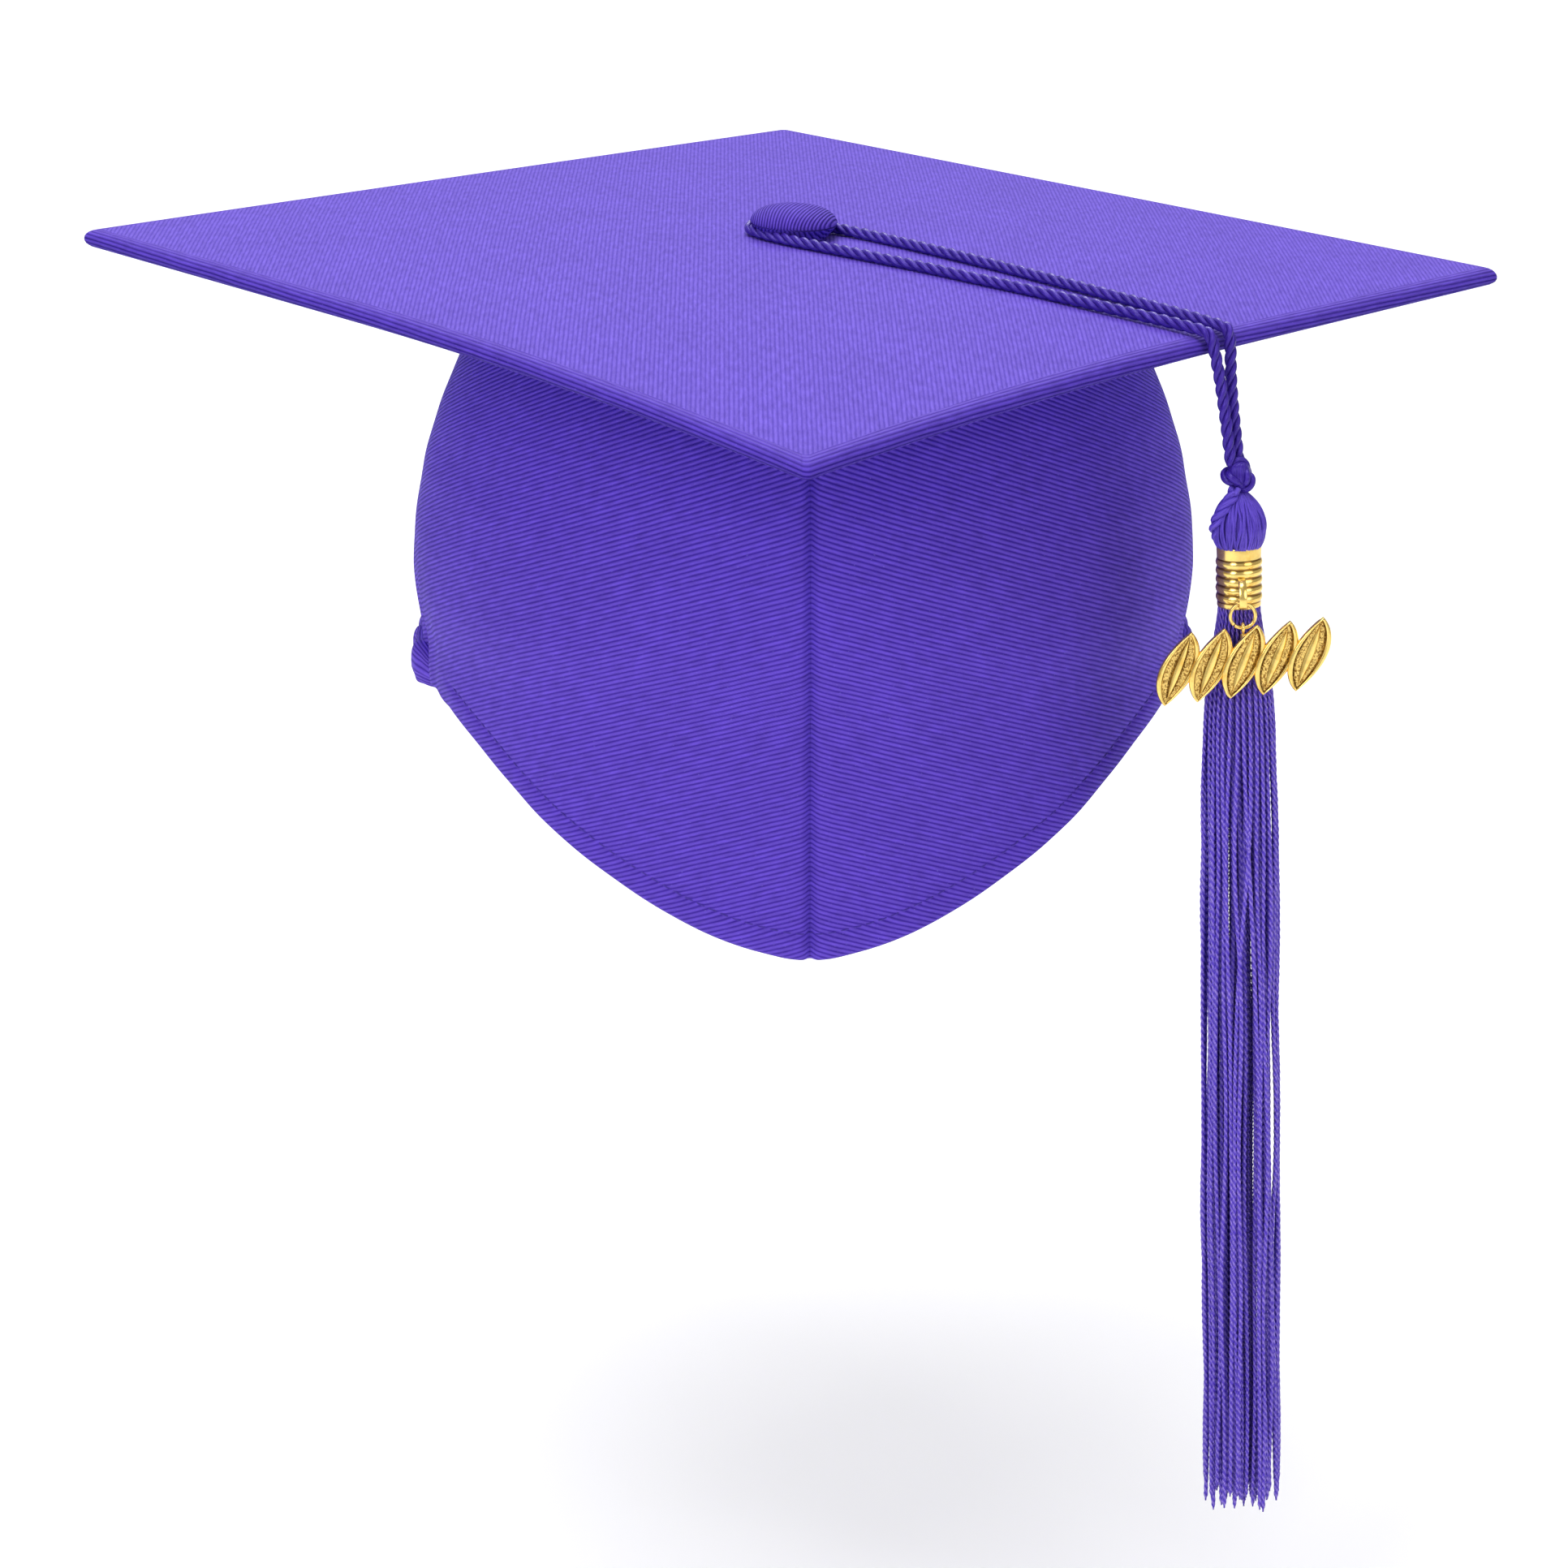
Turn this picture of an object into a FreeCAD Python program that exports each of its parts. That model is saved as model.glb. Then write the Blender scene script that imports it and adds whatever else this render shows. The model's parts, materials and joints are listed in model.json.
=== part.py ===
import FreeCAD, Part
import os
from math import ceil, cos, pi, radians, sin, sqrt, tan

# Graduation cap: a square board on a soft skull cap, with a covered button, a looped cord and a tassel.
# Millimetres, +Z up. One corner of the board and the skull cap's point face -Y.
# The origin is the middle of the head opening, at the height of the side and back hem.

V = FreeCAD.Vector
UP = V(0, 0, 1)

# ---- Board ----
board_side = 240.0
board_corner_radius = 1.5
board_height = 101.0        # plane through the corners, above the side hem
board_centre_x = -2.5       # the board sits a little off the head's axis
core_thickness = 3.0
cover_thickness = 0.5       # twill, above, below and round the edges
board_tilt = 1.75           # degrees down towards the tassel
board_crown = 4.0           # the middle stands above the corners by this
corner_twist = 1.0          # side corners up, front and back corners down
front_sag = 6.2             # further sag of the front corner
front_sag_start = 0.4       # share of the half diagonal where the sag begins

# ---- Skull cap ----
skull_radius = 95.0         # at its widest
widest_height = 28.0
crown_radius = 68.0         # where it meets the board
crown_fullness = 1.9        # exponent of the curve from the widest line to the crown
waist_depth = 2.5           # drawn in above the elastic
waist_span = 20.0
front_point_depth = 44.7    # the front point below the side hem
point_end_angle = 78.0      # degrees from the front seam to where the hem is level
point_sharpness = 0.15
panel_thickness = 0.8
stiffener_thickness = 0.6
allowance_thickness = 0.6
seam_allowance = 9.0
hem_width = 6.5
flange_width = 10.0
flange_thickness = 0.8
flange_gap = 0.5            # to the seam allowances round it

# ---- Stitches ----
stitch_pitch = 3.0
stitch_length = 2.2
stitch_radius = 0.2

# ---- Elastic ----
casing_start = 70.0         # degrees from the front seam
casing_stand_out = 3.5      # outer face, out from the drawn-in skull cap
casing_depth = 4.6
casing_height = 10.0
casing_bottom = -2.5
casing_wall = 0.7
casing_corner = 1.6
elastic_height = 6.5
elastic_thickness = 1.2

# ---- Button ----
button_radius = 10.1
button_foot_radius = 7.6
button_hip_flare = 1.0      # where the fabric turns out again under the rim
button_hip_height = 1.8
button_rim_height = 3.4
button_dome_height = 3.6
button_fabric = 0.6
shell_wall = 0.5
shank_radius = 1.6
shank_head_radius = 3.0
shank_head_height = 0.8
rivet_flare = 1.0           # the shank's closed end, beyond its side
rivet_height = 0.6
back_plate_thickness = 1.5
washer_radius = 9.0
washer_thickness = 0.8
fit = 0.05                  # clearance of inner pieces that are assembled one in another
fabric_opening = 1.5        # hole in the button's fabric, round the shank's head
seat = 0.03                 # gap under pieces that rest on the board's curved faces

# ---- Cord ----
cord_diameter = 2.6
cord_lift = 0.2             # cord's underside above the board
loop_gap = 0.3              # between the cord and the slope under the button's rim
crossing_offset = 10.7      # along the edge, from its middle to where the cord crosses it
edge_spacing = 6.6          # between the two strands where they cross the edge
edge_gap = 0.8              # between the cord and the board's edge
edge_inset = 0.7            # the cord on the board ends this far inside the edge
edge_bend = 1.5             # radius of the bend's inner side, over the edge
hang_gap = 0.15             # between the strands as they hang
knot_out = 8.2              # knot's centre, outwards from the board's edge
knot_drop = 30.3            # and below the board's top there
leg_shares = (0.66, 0.33)   # the legs' corners on the board, as shares of the way from the button to the edge
turn_out = 0.1              # the hanging strands' first corner, further out than the cord on the edge
turn_drop = 1.2             # and below the board's top
turn_spread = 0.9           # the strands' spacing there, as a share of the one on the edge
meet_shares = (0.5, 0.42)   # where they come together: shares of the way out and down to the knot's centre
end_shares = (0.86, 0.92)   # where they end in the knot

# ---- Tassel, along its own axis below the knot's centre ----
tassel_lean = 2.8           # degrees outwards: the cord springs the tassel off the edge
knot_radius = 3.9
knot_half_height = 4.9
knot_gap = 0.5
head_radius = 5.7
head_neck_radius = 2.0
head_height = 10.6
head_widest_drop = 6.4
head_shoulder_radius = 4.2
head_shoulder_drop = 2.7
head_seat_flare = 0.5       # the yarn's edge over the ferrule's rim
head_seat_height = 0.9
ferrule_radius = 5.0
ferrule_height = 13.8
ferrule_wall = 0.45
ferrule_rim = 2.6
ferrule_foot = 1.3          # plain part below the ribs
rib_count = 5
rib_height = 0.35
hook_width = 1.8
hook_radius = 1.3
hook_bore = 0.75
hook_stand_off = 2.0        # hook's centre from the ferrule's side
hook_rise = 2.0             # and above its lower end
hook_strip = 0.7
hook_strip_height = 5.6
hook_root_height = 2.4
hook_root_rise = 3.2        # root's lower side above the hook's centre
ring_radius = 2.8
ring_wire = 0.8
strand_diameter = 0.95
strand_gap = 0.05
fringe_length = 223.0
fringe_straight = 4.5       # below the ferrule, before the strands spread
fringe_flare_drop = 24.0    # further down, where they have spread to
fringe_flare = 2.9          # the outer strands' way out by then
fringe_fall_drop = 85.0
fringe_fall = 4.35
fringe_spread = 4.65        # and at their ends
fringe_ragged = 5.0

# ---- Charm: a band of slanted, overlapping leaves ----
leaf_count = 5
leaf_pitch = 7.4
leaf_height = 16.2
leaf_width = 8.6            # along the band, at the leaf's middle
leaf_slant = 7.6            # tip beyond the foot, along the band
charm_thickness = 1.4
charm_rise = 4.5            # degrees, up to the right
charm_back = 0.9            # back face in front of the ring's plane
charm_top_lap = 0.7         # leaves' tips above the bail's centre
neck_height = 2.6
neck_drop = 3.4             # its lower side below the bail's centre

clear = 200.0               # cutting solids reach this far past what they cut

board_thickness = core_thickness + 2 * cover_thickness
half_diagonal = board_side / sqrt(2)
casing_outer_radius = skull_radius - waist_depth + casing_stand_out
button_hip_radius = button_foot_radius + button_hip_flare
cord_radius = cord_diameter / 2
hang_spacing = cord_diameter + hang_gap
hook_out = ferrule_radius + hook_stand_off
outwards = V(1, -1, 0) * (1 / sqrt(2))
along_edge = V(1, 1, 0) * (1 / sqrt(2))


def save(node, shape):
    """Write one sub-part, after a check that it is sound."""
    solids = shape.Solids
    sound = all(s.isValid() and s.isClosed() and s.Volume > 0 for s in solids)
    if not solids or not sound:
        raise ValueError(node + " is not made of sound solids")
    Part.makeCompound(solids).exportStep("parts/" + node + ".step")
    print(node, len(solids), round(sum(s.Volume for s in solids), 1))


def spline(points):
    """A smooth edge through points."""
    curve = Part.BSplineCurve()
    curve.interpolate(points)
    return curve.toShape()


def line(start, end):
    return Part.LineSegment(start, end).toShape()


def arc(start, middle, end):
    return Part.Arc(start, middle, end).toShape()


def face_of(edges):
    return Part.Face(Part.Wire(Part.__sortEdges__(edges)))


def turned(edges):
    """A solid of revolution about Z, from edges of an outline in the XZ plane."""
    return face_of(edges).revolve(V(), UP, 360)


def outline(pairs):
    """Straight closed outline in the XZ plane, from radius and height pairs."""
    points = [V(r, 0, z) for r, z in pairs]
    return [line(a, b) for a, b in zip(points, points[1:] + points[:1])]


# ---- Board ----

def board_rise(x, y):
    """Height of the board's top above the plane of its corners, at x, y from its centre."""
    one_way = (x + y) / half_diagonal
    other_way = (x - y) / half_diagonal
    crown = board_crown * (1 - one_way**2) * (1 - other_way**2)
    twist = corner_twist * (x**2 - y**2) / half_diagonal**2
    towards_corner = (-y / half_diagonal - front_sag_start) / (1 - front_sag_start)
    sag = front_sag * max(0.0, towards_corner)**2
    return crown + twist - sag - x * tan(radians(board_tilt))


def on_board(x, y, lift=0.0):
    """A point at x, y from the board's centre, lift above its top."""
    return V(board_centre_x + x, y, board_height + board_rise(x, y) + lift)


def board_sheet():
    """The board's top as one smooth face, a little wider than the board."""
    spans = 14
    reach = board_side / 2 + 5
    steps = [reach * (2 * i / spans - 1) for i in range(spans + 1)]
    surface = Part.BSplineSurface()
    surface.interpolate([[on_board((a + b) / sqrt(2), (a - b) / sqrt(2)) for b in steps] for a in steps])
    return surface.toShape()


def between(sheet, upper, lower):
    """The solid between two heights measured from the board's top."""
    return sheet.translated(UP * upper).extrude(UP * (lower - upper))


def square_prism(side, corner_radius):
    """An upright prism of the board's plan."""
    box = Part.makeBox(side, side, clear, V(-side / 2, -side / 2, -clear / 2))
    upright = [e for e in box.Edges if abs(e.tangentAt(e.FirstParameter).z) > 0.9]
    prism = box.makeFillet(corner_radius, upright)
    prism.rotate(V(), UP, 45)
    return prism.translated(V(board_centre_x, 0, board_height))


def build_board(sheet):
    core_side = board_side - 2 * cover_thickness
    core_plan = square_prism(core_side, board_corner_radius - cover_thickness)
    shank_hole = in_button_frame(Part.makeCylinder(shank_radius + fit, 20, V(0, 0, -10)))
    under_core = -cover_thickness - core_thickness
    core = between(sheet, -cover_thickness, under_core).common(core_plan)
    envelope = between(sheet, 0, -board_thickness).common(square_prism(board_side, board_corner_radius))
    wrapped = between(sheet, -cover_thickness, -board_thickness - 1).common(core_plan)
    under = between(sheet, under_core, -board_thickness).common(core_plan)
    save("board_core", core.cut(shank_hole))
    save("board_top_cover", envelope.cut(wrapped).cut(shank_hole))
    save("board_under_cover", under.cut(shank_hole))


# ---- Button, in a frame on the board's middle with Z along the board's normal ----

def in_button_frame(shape):
    placed = shape.copy()
    placed.rotate(V(), V(0, 1, 0), board_tilt)
    return placed.translated(on_board(0, 0))


def dome_edge(radius, height):
    """A quarter ellipse from the button's rim to its top."""
    count = 8
    angles = [pi / 2 * i / count for i in range(count + 1)]
    return spline([V(radius * cos(t), 0, button_rim_height + height * sin(t)) for t in angles])


def domed(radius, height, foot):
    """A solid with a domed top, over a foot given as radius and height pairs from axis to rim."""
    points = [V(r, 0, z) for r, z in foot] + [V(radius, 0, button_rim_height)]
    edges = [line(a, b) for a, b in zip(points, points[1:])]
    edges.append(dome_edge(radius, height))
    edges.append(line(V(0, 0, button_rim_height + height), points[0]))
    return turned(edges)


def build_button():
    hip = (button_hip_radius, button_hip_height)
    outer = domed(button_radius, button_dome_height, [(0, seat), (button_foot_radius, seat), hip])
    inner_radius = button_radius - button_fabric
    inner_foot = button_foot_radius - button_fabric / 2
    inner_hip = (hip[0] - button_fabric, hip[1] + 0.2)
    floor = seat + button_fabric
    inner = domed(inner_radius, button_dome_height - button_fabric,
                  [(0, floor), (inner_foot, floor), inner_hip])
    opening = Part.makeCylinder(shank_head_radius + fabric_opening, 2 * floor, V(0, 0, -floor / 2))
    save("button_cover", in_button_frame(outer.cut(inner).cut(opening)))

    shell_outer = domed(inner_radius - fit, button_dome_height - button_fabric - fit,
                        [(0, button_rim_height - 0.01)])
    shell_height = button_dome_height - button_fabric - fit - shell_wall
    shell_inner = domed(inner_radius - fit - shell_wall, shell_height,
                        [(0, button_rim_height - 0.01)])
    save("button_shell", in_button_frame(shell_outer.cut(shell_inner)))

    plate_low = floor + fit
    plate_top = plate_low + back_plate_thickness
    plate_start = V(0, 0, plate_low)
    plate = Part.makeCone(inner_foot - 2 * fit, inner_hip[0] - 2 * fit, back_plate_thickness, plate_start)
    shank_bore = Part.makeCylinder(shank_radius + fit, 20, V(0, 0, -10))
    save("button_back_plate", in_button_frame(plate.cut(shank_bore)))

    washer_top = -board_thickness - seat
    washer = Part.makeCylinder(washer_radius, washer_thickness, V(0, 0, washer_top - washer_thickness))
    save("button_washer", in_button_frame(washer.cut(shank_bore)))

    foot = washer_top - washer_thickness
    shank = Part.makeCylinder(shank_radius, plate_top - foot, V(0, 0, foot))
    head = Part.makeCylinder(shank_head_radius, shank_head_height, V(0, 0, plate_top))
    closing = Part.makeCylinder(shank_radius + rivet_flare, rivet_height, V(0, 0, foot - rivet_height))
    save("button_shank", in_button_frame(shank.fuse([head, closing]).removeSplitter()))


# ---- Skull cap ----

def skull_radius_at(z):
    """Outside radius of the skull cap at a height."""
    if z > widest_height:
        rise = (z - widest_height) / (board_height - widest_height)
        return skull_radius - (skull_radius - crown_radius) * rise**crown_fullness
    drop = min(1.0, (widest_height - z) / waist_span)
    return skull_radius - waist_depth * (1 - cos(pi * drop)) / 2


def hem_height(angle):
    """Height of the skull cap's lower edge, at degrees from the front seam."""
    share = min(1.0, abs(angle) / point_end_angle)
    level = (1 - point_sharpness) * cos(pi * share / 2)**2 + point_sharpness * (1 - share)**2
    return -front_point_depth * level


def skull_layer(outer, inner, start, sweep):
    """A shell between two depths under the skull cap's outer surface, over a range of degrees."""
    low = -front_point_depth - 10
    high = board_height + 8
    count = 18
    heights = [low + (high - low) * i / count for i in range(count + 1)]
    outside = [V(skull_radius_at(z) - outer, 0, z) for z in heights]
    inside = [V(skull_radius_at(z) - inner, 0, z) for z in heights]
    ends = [line(outside[0], inside[0]), line(outside[-1], inside[-1])]
    section = face_of([spline(outside), spline(inside)] + ends)
    section.rotate(V(), UP, start - 90)
    return section.revolve(V(), UP, sweep)


def below_hem(rise):
    """Everything below the hem line raised by some millimetres."""
    count = 13
    reach = skull_radius + clear
    floor = -front_point_depth - clear
    angles = [point_end_angle * i / count for i in range(count + 1)]
    hem_radius = skull_radius - waist_depth
    points = [V(-reach, -hem_radius * cos(radians(a)), hem_height(a) + rise) for a in angles]
    front = V(-reach, -reach, points[0].z)
    back = V(-reach, reach, points[-1].z)
    low_front = V(-reach, -reach, floor)
    low_back = V(-reach, reach, floor)
    edges = [spline(points), line(front, points[0]), line(points[-1], back)]
    edges += [line(back, low_back), line(low_back, low_front), line(low_front, front)]
    return face_of(edges).extrude(V(2 * reach, 0, 0))


def casing_section(inset):
    """The elastic casing's rounded section, drawn in by an inset."""
    width = casing_depth - 2 * inset
    height = casing_height - 2 * inset
    corner = casing_corner - inset
    inner_radius = casing_outer_radius - casing_depth + inset
    low = casing_bottom + inset
    block = Part.makeBox(width, 1, height, V(inner_radius, 0, low))
    edges = [e for e in block.Edges if abs(e.tangentAt(e.FirstParameter).y) > 0.9]
    rounded = block.makeFillet(corner, edges)
    return [f for f in rounded.Faces if abs(f.CenterOfMass.y) < 1e-6 and f.normalAt(0, 0).y < -0.9][0]


def swept_back(section):
    """A section in the XZ plane swept round the sides and back of the head opening."""
    placed = section.copy()
    placed.rotate(V(), UP, casing_start - 90)
    return placed.revolve(V(), UP, 360 - 2 * casing_start)


def build_skull(sheet):
    over_board_underside = between(sheet, clear / 2, -board_thickness)
    under_hem = below_hem(0)
    under_facing_top = below_hem(hem_width)
    casing_space = swept_back(casing_section(0))
    depth_1 = panel_thickness
    depth_2 = depth_1 + stiffener_thickness
    depth_3 = depth_2 + allowance_thickness
    half_seam = seam_allowance / skull_radius * 180 / pi

    for side, sign in (("left", -1), ("right", 1)):
        panel = skull_layer(0, depth_1, 0, 180 * sign).cut(over_board_underside).cut(under_hem)
        save("skull_panel_" + side, panel.cut(casing_space))
        lining = skull_layer(depth_1, depth_2, 0, casing_start * sign).cut(over_board_underside)
        save("front_stiffener_" + side, lining.cut(under_facing_top))
        save("hem_facing_" + side, lining.cut(under_hem).common(under_facing_top))

    front_allowance = [skull_layer(depth_2, depth_3, 0, half_seam * sign) for sign in (-1, 1)]
    front_allowance = [s.cut(over_board_underside).cut(under_facing_top) for s in front_allowance]
    save("front_seam_allowance", Part.makeCompound(front_allowance))
    back_allowance = [skull_layer(depth_1, depth_2, 180, half_seam * sign) for sign in (-1, 1)]
    above_casing = Part.makeBox(2 * clear, 2 * clear, clear, V(-clear, -clear, casing_bottom + casing_height))
    back_allowance = [s.cut(over_board_underside).common(above_casing) for s in back_allowance]
    save("back_seam_allowance", Part.makeCompound(back_allowance))

    flange_outer = crown_radius - depth_3 - flange_gap
    ring = Part.makeCylinder(flange_outer, clear, V(0, 0, board_height - clear / 2))
    hole = Part.makeCylinder(flange_outer - flange_width, clear, V(0, 0, board_height - clear / 2))
    ring = ring.cut(hole)
    flange = between(sheet, -board_thickness, -board_thickness - flange_thickness)
    save("crown_flange", flange.common(ring))

    casing = casing_space.cut(swept_back(casing_section(casing_wall)))
    save("elastic_casing", casing)
    band_radius = casing_outer_radius - casing_depth / 2 - elastic_thickness / 2
    band_low = casing_bottom + (casing_height - elastic_height) / 2
    band_high = band_low + elastic_height
    band = outline([(band_radius, band_low), (band_radius + elastic_thickness, band_low),
                    (band_radius + elastic_thickness, band_high), (band_radius, band_high)])
    save("elastic_band", swept_back(face_of(band)))


def hem_line_point(angle):
    """A point on the stitch line, just off the skull cap's outer surface."""
    z = hem_height(angle) + hem_width
    radius = skull_radius_at(z) + stitch_radius + seat
    return V(radius * sin(radians(angle)), -radius * cos(radians(angle)), z)


def build_hem_stitches():
    reach = casing_start - 3
    length = hem_line_point(0).distanceToPoint(hem_line_point(reach)) * 1.15
    count = ceil(length / stitch_pitch)
    stitches = []
    for i in range(-count, count + 1):
        angle = reach * i / count
        middle = hem_line_point(angle)
        direction = (hem_line_point(angle + 0.5) - hem_line_point(angle - 0.5)).normalize()
        start = middle - direction * (stitch_length / 2)
        stitches.append(Part.makeCylinder(stitch_radius, stitch_length, start, direction))
    save("hem_stitches", Part.makeCompound(stitches))


# ---- Cords ----

def route(points):
    """Straight runs joined by tangent arcs, each as large as its shorter run allows."""
    edges = []
    radii = []
    start = points[0]
    for before, corner, after in zip(points, points[1:], points[2:]):
        back = before - corner
        ahead = after - corner
        turn = pi - back.getAngle(ahead)
        reach = 0.45 * min(back.Length, ahead.Length)
        radius = reach / tan(turn / 2)
        radii.append(radius)
        back.normalize()
        ahead.normalize()
        inwards = (back + ahead).normalize()
        middle = corner + inwards * (radius / cos(turn / 2) - radius)
        edges.append(line(start, corner + back * reach))
        edges.append(arc(corner + back * reach, middle, corner + ahead * reach))
        start = corner + ahead * reach
    edges.append(line(start, points[-1]))
    return Part.Wire(edges), radii


def tube(points, radius):
    """A round cord along a route. Returns its solid, its length and its bend radii."""
    path, radii = route(points)
    direction = (points[1] - points[0]).normalize()
    section = Part.Wire(Part.makeCircle(radius, points[0], direction))
    solid = path.makePipeShell([section], True, False)
    expected = pi * radius**2 * path.Length
    if abs(solid.Volume / expected - 1) > 0.01:
        raise ValueError("a cord's volume is not its section times its length")
    return solid, path.Length, radii


def crossing(out, lift, side):
    """A point by the board's edge where the cord crosses it: outwards, above the top, along the edge."""
    on_edge = outwards * (board_side / 2) + along_edge * crossing_offset
    top = on_board(on_edge.x, on_edge.y)
    return top + outwards * out + UP * lift + along_edge * side


def radius_round_button():
    """From the button's axis to the cord's line, clear of the slope under the button's rim."""
    rise = button_rim_height - button_hip_height
    overhang = button_radius - button_hip_radius
    below_hip = button_hip_height - cord_lift - cord_radius
    away = (cord_radius + loop_gap) * sqrt(rise**2 + overhang**2)
    return button_hip_radius + (away - below_hip * overhang) / rise


def loop_route():
    """The cord on the board: from the edge, round the button and back to the edge."""
    centre = V(board_centre_x, 0, 0)
    aim = crossing(0, 0, 0) - centre
    aim.z = 0
    run = aim.Length
    aim.normalize()
    across = UP.cross(aim)
    button_spread = radius_round_button()
    edge_spread = edge_spacing / 2

    def leg_point(distance, side):
        spread = button_spread + (edge_spread - button_spread) * distance / run
        place = aim * distance + across * (spread * side)
        return on_board(place.x, place.y, cord_radius + cord_lift)

    # Three corners take the cord round the button in equal turns.
    turn = 60
    corner_distance = button_spread / cos(radians(turn / 2))
    corners = []
    for angle in (-turn, 0, turn):
        out = (aim * -cos(radians(angle)) + across * sin(radians(angle))) * corner_distance
        corners.append(on_board(out.x, out.y, cord_radius + cord_lift))
    distances = [run * share for share in leg_shares]
    lift = cord_radius + edge_gap
    front = [crossing(-edge_inset, lift, -edge_spread)] + [leg_point(d, -1) for d in distances]
    back = [leg_point(d, 1) for d in reversed(distances)] + [crossing(-edge_inset, lift, edge_spread)]
    return front + corners + back


def bend_point():
    """Where the cord turns down over the board's edge, and the tassel swings about."""
    bend_radius = cord_radius + edge_bend
    out = cord_radius + edge_gap - bend_radius * (1 - cos(radians(45)))
    return crossing(out, out, 0)


def knot_centre():
    return crossing(knot_out, -knot_drop, 0)


def hanging_route(side):
    """One strand from the bend down into the knot."""
    start = bend_point() + along_edge * (side * edge_spacing / 2)
    turn_side = side * turn_spread * edge_spacing / 2
    below_edge = crossing(cord_radius + edge_gap + turn_out, -turn_drop, turn_side)
    points = [start, below_edge]
    for out_share, drop_share in (meet_shares, end_shares):
        points.append(crossing(knot_out * out_share, -knot_drop * drop_share, side * hang_spacing / 2))
    return points


def build_cords(knot):
    loop, length, radii = tube(loop_route(), cord_radius)
    print("loop cord length", round(length, 1), "bend radii", [round(r, 1) for r in radii])
    save("tassel_loop_cord", loop)
    for name, side in (("front", -1), ("back", 1)):
        strand, length, radii = tube(hanging_route(side), cord_radius)
        print("hanging cord length", round(length, 1), "bend radii", [round(r, 1) for r in radii])
        save("hanging_cord_" + name, strand.cut(knot))


# ---- Tassel, in a frame at the knot's centre ----

def in_tassel_frame(shape):
    placed = shape.copy()
    placed.rotate(V(), along_edge, -tassel_lean)
    return placed.translated(knot_centre())


def tassel_point(x, y, z):
    """A point of the tassel's frame, in the cap's frame."""
    turn = FreeCAD.Rotation(along_edge, -tassel_lean)
    return turn.multVec(V(x, y, z)) + knot_centre()


def knot_shape():
    count = 8
    angles = [pi * i / count - pi / 2 for i in range(count + 1)]
    side = spline([V(knot_radius * cos(t), 0, knot_half_height * sin(t)) for t in angles])
    return turned([side, line(V(0, 0, knot_half_height), V(0, 0, -knot_half_height))])


head_top = -knot_half_height - knot_gap
ferrule_top = head_top - head_height
ferrule_bottom = ferrule_top - ferrule_height
hook_height = ferrule_bottom + hook_rise
bail_height = hook_height - 2 * ring_radius


def build_head():
    bottom_radius = ferrule_radius - ferrule_wall - fit
    shoulder = V(head_shoulder_radius, 0, head_top - head_shoulder_drop)
    widest = V(head_radius, 0, head_top - head_widest_drop)
    points = [V(head_neck_radius, 0, head_top), shoulder, widest]
    points.append(V(bottom_radius + head_seat_flare, 0, ferrule_top + head_seat_height))
    points.append(V(bottom_radius, 0, ferrule_top + fit))
    edges = [spline(points), line(V(0, 0, head_top), points[0])]
    edges += [line(V(0, 0, points[-1].z), points[-1]), line(V(0, 0, head_top), V(0, 0, points[-1].z))]
    save("tassel_head", in_tassel_frame(turned(edges)))


def build_ferrule():
    """A crimped tube with a plain rim, rolled ribs and a strip curled into a hook."""
    inner = ferrule_radius - ferrule_wall
    rib_pitch = (ferrule_height - ferrule_rim - ferrule_foot) / rib_count
    edges = [line(V(inner, 0, ferrule_top), V(ferrule_radius, 0, ferrule_top))]
    z = ferrule_top - ferrule_rim
    edges.append(line(V(ferrule_radius, 0, ferrule_top), V(ferrule_radius, 0, z)))
    for _ in range(rib_count):
        crest = V(ferrule_radius + rib_height, 0, z - rib_pitch / 2)
        edges.append(arc(V(ferrule_radius, 0, z), crest, V(ferrule_radius, 0, z - rib_pitch)))
        z -= rib_pitch
    edges.append(line(V(ferrule_radius, 0, z), V(ferrule_radius, 0, ferrule_bottom)))
    edges.append(line(V(ferrule_radius, 0, ferrule_bottom), V(inner, 0, ferrule_bottom)))
    edges.append(line(V(inner, 0, ferrule_bottom), V(inner, 0, ferrule_top)))
    body = turned(edges)
    strip_back = hook_out - hook_radius
    strip = Part.makeBox(hook_width, hook_strip, hook_strip_height,
                         V(-hook_width / 2, -strip_back - hook_strip, hook_height))
    root_front = strip_back + hook_strip / 2
    root = Part.makeBox(hook_width, root_front - inner - fit, hook_root_height,
                        V(-hook_width / 2, -root_front, hook_height + hook_root_rise))
    hook = eye(hook_height)
    save("ferrule", in_tassel_frame(body.fuse([strip, root, hook]).removeSplitter()))


def eye(z):
    """A small curled eye with its bore along X."""
    start = V(-hook_width / 2, -hook_out, z)
    curl = Part.makeCylinder(hook_radius, hook_width, start, V(1, 0, 0))
    return curl.cut(Part.makeCylinder(hook_bore, hook_width, start, V(1, 0, 0)))


def build_jump_ring():
    centre = V(0, -hook_out, hook_height - ring_radius)
    save("jump_ring", in_tassel_frame(Part.makeTorus(ring_radius, ring_wire / 2, centre, V(0, 1, 0))))


def leaf(x, width, height):
    """A slanted pointed oval in the XZ plane, centred on the charm's middle line."""
    base = V(x - leaf_slant / 2, 0, -height / 2)
    tip = V(x + leaf_slant / 2, 0, height / 2)
    right = arc(base, V(x + width / 2, 0, 0), tip)
    left = arc(base, V(x - width / 2, 0, 0), tip)
    return face_of([right, left]).extrude(V(0, -charm_thickness, 0))


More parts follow.
